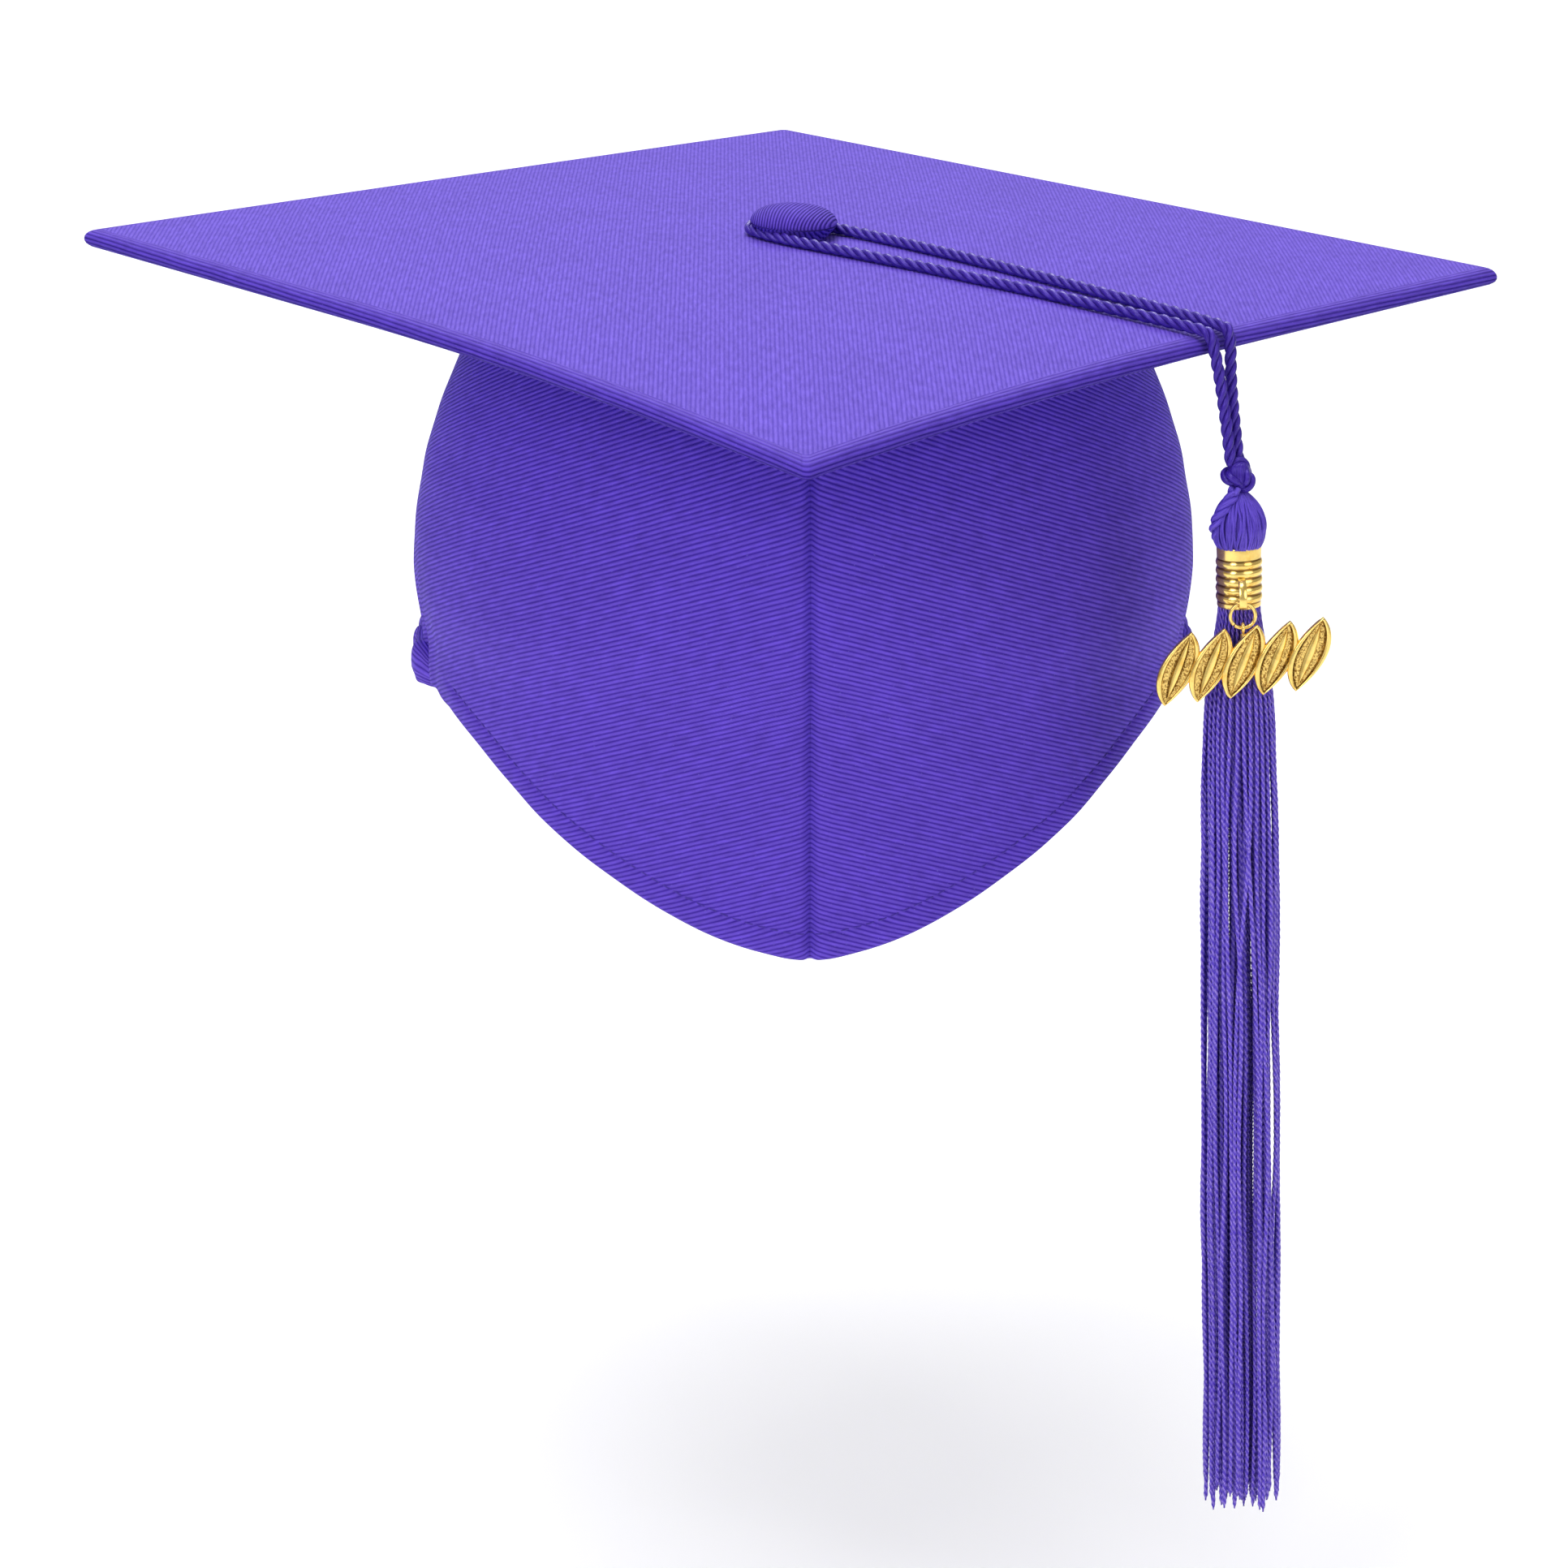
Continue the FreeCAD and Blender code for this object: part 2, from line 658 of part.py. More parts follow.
def build_charm():
    places = [(i - (leaf_count - 1) / 2) * leaf_pitch for i in range(leaf_count)]
    leaves = [leaf(x, leaf_width, leaf_height) for x in places]
    band = leaves[0].fuse(leaves[1:])
    band.rotate(V(), V(0, -1, 0), charm_rise)
    drop = leaf_height / 2 - charm_top_lap
    band = band.translated(V(0, -hook_out - charm_back, bail_height - drop))
    neck_depth = charm_back + charm_thickness / 2
    neck = Part.makeBox(hook_width, neck_depth, neck_height,
                        V(-hook_width / 2, -hook_out - neck_depth, bail_height - neck_drop))
    bore = Part.makeCylinder(hook_bore, hook_width, V(-hook_width / 2, -hook_out, bail_height), V(1, 0, 0))
    charm = band.fuse([neck, eye(bail_height)]).cut(bore).removeSplitter()
    save("charm", in_tassel_frame(charm))


def strand(radius, angle, length, outer_ring):
    """One fringe strand, gathered in the ferrule and spreading below it."""
    outward = V(cos(angle), sin(angle), 0)
    side = outward * radius
    spread = outward * (radius / outer_ring)
    top = ferrule_top - strand_gap
    end = ferrule_bottom - length
    points = [side + UP * top, side + UP * (ferrule_bottom - fringe_straight)]
    points.append(side + spread * fringe_flare + UP * (ferrule_bottom - fringe_flare_drop))
    points.append(side + spread * fringe_fall + UP * (ferrule_bottom - fringe_fall_drop))
    points.append(side + spread * fringe_spread + UP * end)
    if radius == 0:
        return Part.makeCylinder(strand_diameter / 2, top - end, V(0, 0, end))
    return tube(points, strand_diameter / 2)[0]


def build_fringe():
    """Rings of strands about one in the middle, with ragged ends."""
    outer_ring = ferrule_radius - ferrule_wall - fit - strand_diameter / 2
    ring_count = int(outer_ring / (strand_diameter + strand_gap))
    ring_step = outer_ring / ring_count
    groups = {"inner": range(ring_count - 1), "middle": [ring_count - 1], "outer": [ring_count]}
    for name, rings in groups.items():
        strands = []
        for ring in rings:
            count = max(1, 6 * ring)
            for i in range(count):
                length = fringe_length - fringe_ragged * (0.5 + 0.5 * sin(2.4 * i + ring))
                angle = 2 * pi * (i + 0.5 * (ring % 2)) / count
                strands.append(strand(ring * ring_step, angle, length, outer_ring))
        save("fringe_" + name + "_strands", in_tassel_frame(Part.makeCompound(strands)))


os.makedirs("parts", exist_ok=True)
top_sheet = board_sheet()
build_board(top_sheet)
build_button()
build_skull(top_sheet)
build_hem_stitches()
tassel_knot = in_tassel_frame(knot_shape())
save("tassel_knot", tassel_knot)
build_cords(tassel_knot)
build_head()
build_ferrule()
build_jump_ring()
build_charm()
build_fringe()
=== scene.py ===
import json
from math import cos, pi, radians, sin, sqrt, tan

import bmesh
import bpy
import numpy as np
from mathutils import Matrix, Vector


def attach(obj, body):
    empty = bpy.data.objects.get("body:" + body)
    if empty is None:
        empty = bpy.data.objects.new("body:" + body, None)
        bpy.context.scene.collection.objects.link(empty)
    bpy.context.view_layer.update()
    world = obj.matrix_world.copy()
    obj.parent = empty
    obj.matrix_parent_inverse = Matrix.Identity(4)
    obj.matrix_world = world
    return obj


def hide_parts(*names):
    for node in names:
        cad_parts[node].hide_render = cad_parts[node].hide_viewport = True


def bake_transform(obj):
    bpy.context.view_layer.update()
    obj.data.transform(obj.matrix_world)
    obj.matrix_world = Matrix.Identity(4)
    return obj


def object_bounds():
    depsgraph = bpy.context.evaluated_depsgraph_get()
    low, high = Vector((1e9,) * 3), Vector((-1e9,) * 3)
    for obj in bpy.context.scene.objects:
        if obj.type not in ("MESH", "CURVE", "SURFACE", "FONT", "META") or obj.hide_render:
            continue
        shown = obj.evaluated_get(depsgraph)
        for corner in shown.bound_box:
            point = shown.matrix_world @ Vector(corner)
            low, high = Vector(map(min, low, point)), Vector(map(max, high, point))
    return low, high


# The looks of a graduation cap: twill on its board, button and skull cap, a rope loop and a tassel.
# Metres. Cloth UVs are in millimetres, with the twill's ribs across U.

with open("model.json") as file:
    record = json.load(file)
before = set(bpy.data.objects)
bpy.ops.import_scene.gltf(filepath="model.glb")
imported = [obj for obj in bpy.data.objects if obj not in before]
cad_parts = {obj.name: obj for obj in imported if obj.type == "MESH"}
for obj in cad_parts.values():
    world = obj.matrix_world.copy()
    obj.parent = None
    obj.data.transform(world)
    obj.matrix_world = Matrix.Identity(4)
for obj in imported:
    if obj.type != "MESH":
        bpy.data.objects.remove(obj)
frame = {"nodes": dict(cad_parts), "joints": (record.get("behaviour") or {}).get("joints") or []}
cad_box = [list(corner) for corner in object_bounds()]
joints = {joint["name"]: joint for joint in frame["joints"]}
MM = 0.001

# ---- Sizes that the cloth follows, as in the CAD model ----
BOARD_SIDE = 240 * MM
BOARD_CORNER = 1.5 * MM
BOARD_THICKNESS = 4 * MM
BOARD_TILT = 1.75
BOARD_CROWN = 4 * MM
CORNER_TWIST = 1 * MM
FRONT_SAG = 6.2 * MM
FRONT_SAG_START = 0.4
SKULL_RADIUS = 95 * MM
WIDEST_HEIGHT = 28 * MM
CROWN_RADIUS = 68 * MM
CROWN_FULLNESS = 1.9
WAIST_DEPTH = 2.5 * MM
WAIST_SPAN = 20 * MM
POINT_DEPTH = 44.7 * MM
POINT_END = 78
POINT_SHARPNESS = 0.15
HEM_WIDTH = 6.5 * MM
CASING_START = 70
BUTTON_RADIUS = 10.1 * MM
BUTTON_RIM = 3.4 * MM
TASSEL_LEAN = 2.8

board_top_middle = np.array(joints["loop_turn"]["pos_m"])
board_centre_x = board_top_middle[0]
board_height = board_top_middle[2] - BOARD_CROWN
half_diagonal = BOARD_SIDE / sqrt(2)
knot_centre = np.array(joints["tassel_sway"]["pos_m"])
along_edge = np.array([1, 1, 0]) / sqrt(2)

# The cord's route, from the knot over the board's edge, round the button and back down to the knot.
ROUTE = [
    (0.09393, -0.08325, 0.07034), (0.09185, -0.08116, 0.08549), (0.08937, -0.08094, 0.09701),
    (0.08849, -0.08053, 0.09949), (0.08709, -0.07913, 0.10031), (0.05481, -0.05542, 0.10299),
    (0.02278, -0.03174, 0.10526), (-0.01390, -0.00417, 0.10681), (-0.01181, 0.00779, 0.10674),
    (-0.00041, 0.01196, 0.10639), (0.03321, -0.01927, 0.10499), (0.06219, -0.04660, 0.10285),
    (0.09176, -0.07446, 0.10031), (0.09316, -0.07586, 0.09949), (0.09357, -0.07674, 0.09701),
    (0.09379, -0.07921, 0.08549), (0.09588, -0.08130, 0.07034),
]


# ---- Arrays of points ----

def wander(u, v, size, seed):
    """A smooth random field between about -1 and 1, with features of that size."""
    rng = np.random.default_rng(seed)
    total = 0
    for _ in range(6):
        heading = rng.uniform(0, 2 * pi)
        pace = 2 * pi / size * rng.uniform(0.6, 1.4)
        total = total + np.sin(pace * (u * cos(heading) + v * sin(heading)) + rng.uniform(0, 2 * pi))
    return total / 3.5


def bell(distance, width):
    return np.exp(-(distance / width) ** 2)


def smooth_step(x, low, high):
    share = np.clip((x - low) / (high - low), 0, 1)
    return share * share * (3 - 2 * share)


def unit(vectors):
    return vectors / np.linalg.norm(vectors, axis=-1, keepdims=True)


def distance_along(line):
    """How far along a line each of its points is."""
    return np.concatenate([[0], np.cumsum(np.linalg.norm(np.diff(line, axis=0), axis=1))])


def at_distances(want, along, values):
    """Values that go with a line's points, at other distances along it."""
    return np.stack([np.interp(want, along, values[:, k]) for k in range(values.shape[1])], axis=-1)


def evenly(line, count):
    """The same line with its points equally far apart."""
    along = distance_along(line)
    return at_distances(np.linspace(0, along[-1], count), along, line)


def length_of(line):
    return float(np.linalg.norm(np.diff(line, axis=0), axis=1).sum())


def through(points, count):
    """Evenly spaced points on a smooth line through the given ones."""
    points = np.array(points, float)
    ends = np.vstack([2 * points[0] - points[1], points, 2 * points[-1] - points[-2]])
    spans = len(points) - 1
    t = np.linspace(0, spans, 24 * spans + 1)
    i = np.minimum(t.astype(int), spans - 1)
    f = (t - i)[:, None]
    a, b, c, d = ends[i], ends[i + 1], ends[i + 2], ends[i + 3]
    line = 0.5 * (2 * b + (c - a) * f + (2 * a - 5 * b + 4 * c - d) * f**2 + (3 * b - a - 3 * c + d) * f**3)
    return evenly(line, count)


def joined(*coordinates):
    """Points or UVs from their coordinates, which are first spread out to one common shape."""
    return np.stack(np.broadcast_arrays(*coordinates), axis=-1)


def round_front(radius, angle, z):
    """Points round the upright axis, with angles from the front."""
    return joined(radius * np.sin(angle), -radius * np.cos(angle), z)


def round_axis(radius, angle, z):
    """Points round the Z axis, with angles from X."""
    return joined(radius * np.cos(angle), radius * np.sin(angle), z)


def ring_angles(sides):
    return np.arange(sides) / sides * 2 * pi


def pleats(angle, count, unevenness, changes, phase=0.0):
    """Waves round a circle, closer together in some places than in others."""
    return np.sin(angle * count + unevenness * np.sin(angle * changes + phase))


def frames_along(line):
    """The two sideways directions at each point of a line, without twist."""
    tangent = unit(np.gradient(line, axis=0))
    start = np.cross(tangent[0], (0.31, 0.22, 0.92))
    side = np.empty_like(line)
    for i, direction in enumerate(tangent):
        start = start - direction * np.dot(start, direction)
        start = start / np.linalg.norm(start)
        side[i] = start
    return side, np.cross(tangent, side)


# ---- Meshes. A part is its points and its faces, each set with its corners' UVs ----

def grid(points, uv, closed_columns=False):
    """The quads of a grid of points. Where its columns close, uv has one more of them than points."""
    rows, columns = points.shape[:2]
    row, column = np.meshgrid(np.arange(rows - 1), np.arange(columns - 1 + closed_columns), indexing="ij")
    row, column = row.ravel(), column.ravel()
    corners = [(row, column), (row + 1, column), (row + 1, column + 1), (row, column + 1)]
    faces = np.stack([a * columns + b % columns for a, b in corners], axis=1)
    return points.reshape(-1, 3), [(faces, np.stack([uv[a, b] for a, b in corners], axis=1))]


def capped(part, sides, end_values=(0.0, 0.0)):
    """A tube with its first and last rings closed. end_values are the UVs there."""
    points, faces = part
    first = np.arange(sides)[None, :]
    last = first[:, ::-1] + len(points) - sides
    ends = [(ring, np.full((1, sides, 2), value)) for ring, value in zip((first, last), end_values)]
    return points, faces + ends


def swept(line, section, girth=None):
    """A tube along a line. section gives each ring's points as distances along its two side directions."""
    side, up = frames_along(line)
    sides = section.shape[1]
    points = line[:, None] + side[:, None] * section[..., :1] + up[:, None] * section[..., 1:]
    along = distance_along(line) / MM
    girth = girth or float(np.linalg.norm(section[len(line) // 2], axis=1).mean()) * 2 * pi / MM
    uv = joined(np.linspace(0, girth, sides + 1)[None, :], along[:, None])
    return capped(grid(points, uv, closed_columns=True), sides, (along[0], along[-1]))


def round_section(count, sides, radius):
    """Rings of a round section, with one radius or one for each ring."""
    angle = ring_angles(sides)
    return joined(np.cos(angle), np.sin(angle))[None] * np.broadcast_to(radius, count)[:, None, None]


def round_tube(line, radius, sides):
    return swept(line, round_section(len(line), sides, radius))


def turned(profile, sides, squeeze=None, along=None):
    """A surface of revolution about Z from radius and height pairs. squeeze adds to the radius, and along
    gives each pair's V, which is otherwise its distance along the profile."""
    profile = np.array(profile, float)
    angle = ring_angles(sides)
    radius = np.broadcast_to(profile[:, :1], (len(profile), sides))
    if squeeze is not None:
        radius = radius + squeeze(angle[None, :], profile[:, :1], profile[:, 1:])
    if along is None:
        along = distance_along(profile) / MM
    around = np.linspace(0, 2 * pi * profile[:, 0].max() / MM, sides + 1)
    uv = joined(around[None, :], along[:, None])
    return grid(round_axis(radius, angle, profile[:, 1:]), uv, closed_columns=True)


def moved(part, matrix):
    points, faces = part
    matrix = np.array(matrix)
    return points @ matrix[:3, :3].T + matrix[:3, 3], faces


def merged(parts):
    """Several parts as one."""
    faces, offset = [], 0
    for points, face_sets in parts:
        faces += [(indices + offset, uv) for indices, uv in face_sets]
        offset += len(points)
    return np.concatenate([points for points, _ in parts]), faces


def outwards_faced(part):
    """A closed part, with its faces turned outwards."""
    points, face_sets = part
    volume = 0.0
    for faces, _ in face_sets:
        for k in range(1, faces.shape[1] - 1):
            across = np.cross(points[faces[:, k]], points[faces[:, k + 1]])
            volume += float(np.einsum("ij,ij->", points[faces[:, 0]], across))
    return part if volume > 0 else flipped(part)


def flipped(part):
    points, face_sets = part
    return points, [(faces[:, ::-1], uv[:, ::-1]) for faces, uv in face_sets]


def make_piece(name, parts, materials, body, nodes=(), thickness=0.0, material_of=None, weld=False):
    """One object from mesh parts, which stands for its CAD nodes. thickness makes cloth of a surface."""
    points, indices, uvs, sizes, kinds = [], [], [], [], []
    offset = 0
    if not thickness and body:
        centre = np.mean([part[0].mean(axis=0) for part in parts], axis=0)
        parts = [outwards_faced((part_points - centre, faces)) for part_points, faces in parts]
        parts = [(part_points + centre, faces) for part_points, faces in parts]
    for number, (part_points, face_sets) in enumerate(parts):
        points.append(part_points)
        for faces, uv in face_sets:
            indices.append((faces + offset).ravel())
            uvs.append(uv.reshape(-1, 2))
            sizes.append(np.full(len(faces), faces.shape[1]))
            kinds.append(np.full(len(faces), material_of[number] if material_of else 0))
        offset += len(part_points)
    points, indices, uvs = np.concatenate(points), np.concatenate(indices), np.concatenate(uvs)
    sizes = np.concatenate(sizes)
    mesh = bpy.data.meshes.new(name)
    mesh.vertices.add(len(points))
    mesh.vertices.foreach_set("co", points.astype(np.float32).ravel())
    mesh.loops.add(len(indices))
    mesh.loops.foreach_set("vertex_index", indices.astype(np.int32))
    mesh.polygons.add(len(sizes))
    mesh.polygons.foreach_set("loop_start", np.concatenate([[0], np.cumsum(sizes)[:-1]]).astype(np.int32))
    mesh.polygons.foreach_set("material_index", np.concatenate(kinds).astype(np.int32))
    mesh.polygons.foreach_set("use_smooth", np.ones(len(sizes), bool))
    layer = mesh.uv_layers.new(name="cloth")
    layer.data.foreach_set("uv", uvs.astype(np.float32).ravel())
    mesh.update(calc_edges=True)
    mesh.validate()
    if weld:
        edited = bmesh.new()
        edited.from_mesh(mesh)
        bmesh.ops.remove_doubles(edited, verts=edited.verts, dist=0.01 * MM)
        edited.to_mesh(mesh)
        edited.free()
    for material in materials if isinstance(materials, (list, tuple)) else [materials]:
        mesh.materials.append(material)
    piece = bpy.data.objects.new(name, mesh)
    bpy.context.scene.collection.objects.link(piece)
    if thickness:
        solidify = piece.modifiers.new("cloth thickness", "SOLIDIFY")
        solidify.thickness = thickness
        solidify.offset = -1
    if body:
        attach(piece, body)
    if nodes:
        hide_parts(*nodes)
    return piece


# ---- Materials ----

class Shader:
    """A material's nodes: a Principled surface, and what drives it."""

    def __init__(self, name, **constants):
        self.material = bpy.data.materials.new(name)
        self.material.use_nodes = True
        self.nodes = self.material.node_tree.nodes
        self.nodes.clear()
        self.surface = self.add("BsdfPrincipled", {k.replace("_", " "): v for k, v in constants.items()})
        self.add("OutputMaterial", {"Surface": self.surface.outputs[0]})

    def add(self, kind, inputs, **settings):
        made = self.nodes.new("ShaderNode" + kind)
        for key, value in settings.items():
            setattr(made, key, value)
        for key, value in inputs.items():
            self.link(made, key, value)
        return made

    def link(self, made, key, value):
        if isinstance(value, bpy.types.NodeSocket):
            self.material.node_tree.links.new(value, made.inputs[key])
        else:
            made.inputs[key].default_value = value

    def set(self, **inputs):
        for key, value in inputs.items():
            self.link(self.surface, key.replace("_", " "), value)

    def coordinates(self, scale=(1, 1, 1), source="UV", turn=0.0):
        where = self.add("TexCoord", {})
        made = self.add("Mapping", {"Vector": where.outputs[source], "Scale": scale,
                                    "Rotation": (0, 0, turn)})
        return made.outputs[0]

    def noise(self, vector, scale, detail=2.0, roughness=0.5):
        made = self.add("TexNoise", {"Vector": vector, "Scale": scale, "Detail": detail,
                                     "Roughness": roughness})
        return made.outputs[0]

    def waves(self, vector, pitch, distortion, detail_scale, direction="X"):
        """Rounded ribs across one axis, in the vector's own unit."""
        made = self.add("TexWave", {"Vector": vector, "Scale": 0.1 * pi / pitch, "Distortion": distortion,
                                    "Detail": 2.0, "Detail Scale": detail_scale},
                        wave_type="BANDS", bands_direction=direction)
        return made.outputs["Fac"]

    def math(self, operation, a, b=0.0, c=0.0):
        return self.add("Math", {0: a, 1: b, 2: c}, operation=operation).outputs[0]

    def mix(self, factor, a, b, blend="MIX"):
        made = self.add("Mix", {0: factor, 6: a, 7: b}, data_type="RGBA", blend_type=blend)
        return made.outputs[2]

    def ramp(self, factor, *stops):
        made = self.add("ValToRGB", {0: factor})
        for element, (place, colour) in zip(made.color_ramp.elements, stops):
            element.position = place
            element.color = colour
        return made.outputs[0]

    def bump(self, height, distance):
        made = self.add("Bump", {"Height": height, "Distance": distance, "Strength": 1.0})
        self.set(Normal=made.outputs[0])


def grey(value):
    return (value, value, value, 1)


# The ribs of the cloth on the board's edge creep this share of a millimetre down for each along it.
RIM_DRIFT = 0.02


def twill_material(name, ridge, valley_shade, pitch, depth, rib_wave=0.5, fade=None):
    """Ribbed cloth. Its ribs are rounded rows of yarn with small thick and thin places. fade is a colour
    that the cloth starts from, without ribs, where U is 0."""
    shader = Shader(name, Specular_IOR_Level=0.12, Specular_Tint=(0.5, 0.42, 1.0, 1), Sheen_Weight=0.03,
                    Sheen_Roughness=0.45, Sheen_Tint=(0.30, 0.22, 1.0, 1))
    flat = shader.coordinates()
    ribs = shader.waves(flat, pitch, rib_wave, 0.6)
    rounded = shader.math("POWER", ribs, 0.62)
    yarn = shader.noise(shader.coordinates((1.0 / pitch, 0.22, 1)), 1.0, 3.0, 0.6)
    twist = shader.waves(shader.coordinates((1, 1, 1), turn=0.9), 0.42 * pitch, 1.2, 2.0)
    cloud = shader.noise(flat, 0.045, 3.0)
    fleck = shader.noise(shader.coordinates((2.6, 1.5, 1)), 1.0, 1.0)
    # Painted shade: the colour goes from the ridge colour on the ribs' crests to the darker valley colour between
    # them.
    shade = shader.ramp(rounded, (0.0, valley_shade), (0.85, ridge))
    if fade:
        place = shader.add("SeparateXYZ", {0: flat}).outputs
        turned_down = shader.math("MULTIPLY_ADD", place["Y"], -RIM_DRIFT, place["X"])
        turned_down = shader.math("MULTIPLY", turned_down, 0.1)
        shade = shader.mix(shader.ramp(turned_down, (0.10, grey(0)), (0.42, grey(1))), fade, shade)
        # Painted shade: towards the bottom of the board's edge, the colour goes to the dark valley colour.
        shade = shader.mix(shader.ramp(turned_down, (0.46, grey(0)), (0.60, grey(0.8))), shade, valley_shade)
    lighter = shader.math("MULTIPLY_ADD", yarn, 0.75, 0.62)
    patch = shader.math("MULTIPLY_ADD", cloud, 0.22, 0.89)
    tone = shader.math("MULTIPLY", lighter, patch)
    grey_tone = shader.add("CombineColor", {0: tone, 1: tone, 2: tone}).outputs[0]
    toned = shader.mix(1.0, shade, grey_tone, "MULTIPLY")
    lint = shader.ramp(fleck, (0.70, grey(0)), (0.80, grey(0.35)))
    shader.set(Base_Color=shader.mix(lint, toned, (0.30, 0.24, 0.80, 1)))
    shader.set(Roughness=shader.math("MULTIPLY_ADD", yarn, -0.25, 0.78))
    height = shader.math("MULTIPLY_ADD", yarn, 0.35, rounded)
    shader.bump(shader.math("MULTIPLY_ADD", twist, 0.10, height), depth)
    return shader.material


def yarn_material(name, light, dark, fibre, gloss, twist=None):
    """Silky yarn with fine fibres along V. twist is a strand's girth, its plies and their spacing along it."""
    shader = Shader(name, Specular_IOR_Level=0.7, Specular_Tint=(0.42, 0.34, 1.0, 1))
    fibres = shader.noise(shader.coordinates((1 / fibre, 0.35, 1)), 1.0, 3.0, 0.6)
    strands = shader.noise(shader.coordinates((1 / (3 * fibre), 0.12, 1)), 1.0, 2.0)
    both = shader.math("MULTIPLY_ADD", strands, 0.5, shader.math("MULTIPLY", fibres, 0.5))
    colour = shader.ramp(both, (0.30, dark), (0.68, light))
    height = both
    if twist:
        girth, starts, spacing = twist
        place = shader.add("SeparateXYZ", {0: shader.coordinates()})
        turns = shader.math("MULTIPLY", place.outputs["X"], starts / girth)
        turns = shader.math("MULTIPLY_ADD", place.outputs["Y"], 1 / spacing, turns)
        ridge = shader.math("SINE", shader.math("MULTIPLY", turns, 2 * pi))
        ridge = shader.math("MULTIPLY_ADD", ridge, 0.5, 0.5)
        # Painted shade: away from each ply's crest the colour goes to the dark colour, in the grooves between the
        # plies.
        colour = shader.mix(shader.math("MULTIPLY_ADD", ridge, -0.85, 0.85), colour, dark)
        height = shader.math("MULTIPLY_ADD", both, 0.3, ridge)
    shader.set(Base_Color=colour)
    shader.set(Roughness=shader.math("MULTIPLY_ADD", fibres, 0.25, gloss - 0.1))
    shader.bump(height, 0.00032 if twist else 0.00012)
    return shader.material


def gold_material(name, kind="plate"):
    """Bright gold plate with soft wear. The other kinds are a stippled ground, painted shade on recessed walls,
    and ribs with painted shade between their crests, one for each unit of V."""
    shader = Shader(name, Metallic=0.86, Specular_IOR_Level=0.5)
    place = shader.coordinates(source="Object")
    wear = shader.noise(place, 420.0, 4.0, 0.6)
    scratch = shader.noise(shader.coordinates((60, 900, 300), source="Object"), 1.0, 2.0)
    stipple = shader.noise(place, 2300.0, 2.0, 0.7)
    # dark is the brown of the painted shade in the charm's hollows and between the ferrule's ribs.
    bright, deep, dark = (1.0, 0.72, 0.22, 1), (0.80, 0.48, 0.09, 1), (0.20, 0.085, 0.012, 1)
    if kind == "ground":
        shader.set(Base_Color=shader.ramp(stipple, (0.40, (0.30, 0.14, 0.02, 1)), (0.56, bright)))
        shader.set(Roughness=shader.math("MULTIPLY_ADD", stipple, 0.3, 0.25))
        shader.bump(stipple, 0.00030)
        return shader.material
    shader.set(Roughness=shader.math("MULTIPLY_ADD", wear, 0.22, 0.08))
    shader.bump(shader.math("ADD", scratch, wear), 0.000012)
    colour = shader.ramp(wear, (0.25, deep), (0.52, bright))
    # Painted shade: the charm's walls down into its hollows are coloured dark brown gold.
    if kind == "crease":
        colour = shader.ramp(wear, (0.3, dark), (0.7, deep))
    # Painted shade: between the ribs' crests the gold goes dark brown, in place of dark reflections in the
    # grooves.
    if kind == "ribs":
        count = shader.add("SeparateXYZ", {0: shader.coordinates()}).outputs["Y"]
        crest = shader.math("COSINE", shader.math("MULTIPLY", count, 2 * pi))
        crest = shader.math("MULTIPLY_ADD", crest, -0.5, 0.5)
        groove_shade = shader.ramp(crest, (0.02, grey(0.95)), (0.42, grey(0.0)))
        colour = shader.mix(groove_shade, colour, dark)
    shader.set(Base_Color=colour)
    return shader.material


def steel_material():
    shader = Shader("zinc_steel", Metallic=1.0)
    place = shader.coordinates(source="Object")
    spangle = shader.noise(place, 900.0, 4.0, 0.6)
    brushed = shader.noise(shader.coordinates((150, 2500, 150), source="Object"), 1.0, 2.0)
    shader.set(Base_Color=shader.ramp(spangle, (0.3, (0.35, 0.35, 0.37, 1)), (0.7, (0.68, 0.68, 0.70, 1))))
    shader.set(Roughness=shader.math("MULTIPLY_ADD", spangle, 0.3, 0.2))
    shader.bump(brushed, 0.00002)
    return shader.material


def card_material():
    shader = Shader("grey_board", Specular_IOR_Level=0.2)
    place = shader.coordinates(source="Object")
    pulp = shader.noise(place, 700.0, 5.0, 0.65)
    flakes = shader.noise(place, 2500.0, 2.0)
    shader.set(Base_Color=shader.ramp(pulp, (0.3, (0.30, 0.25, 0.19, 1)), (0.7, (0.50, 0.44, 0.35, 1))))
    shader.set(Roughness=shader.math("MULTIPLY_ADD", flakes, 0.2, 0.72))
    shader.bump(shader.math("ADD", pulp, flakes), 0.00006)
    return shader.material


def interfacing_material():
    """Pale non-woven cloth, of tangled fibres with rows of small bonded dots."""
    shader = Shader("interfacing", Specular_IOR_Level=0.25, Sheen_Weight=0.1)
    flat = shader.coordinates()
    fibres = shader.noise(flat, 2.6, 6.0, 0.7)
    dots = shader.add("TexVoronoi", {"Vector": flat, "Scale": 0.55, "Randomness": 0.15}).outputs[0]
    bonded = shader.ramp(dots, (0.16, grey(0)), (0.26, grey(1)))
    cloth = shader.ramp(fibres, (0.3, (0.58, 0.57, 0.60, 1)), (0.7, (0.80, 0.79, 0.80, 1)))
    shader.set(Base_Color=shader.mix(bonded, (0.55, 0.54, 0.58, 1), cloth))
    shader.set(Roughness=shader.math("MULTIPLY_ADD", fibres, 0.2, 0.7))
    shader.bump(shader.math("MULTIPLY_ADD", bonded, 0.6, fibres), 0.00015)
    return shader.material


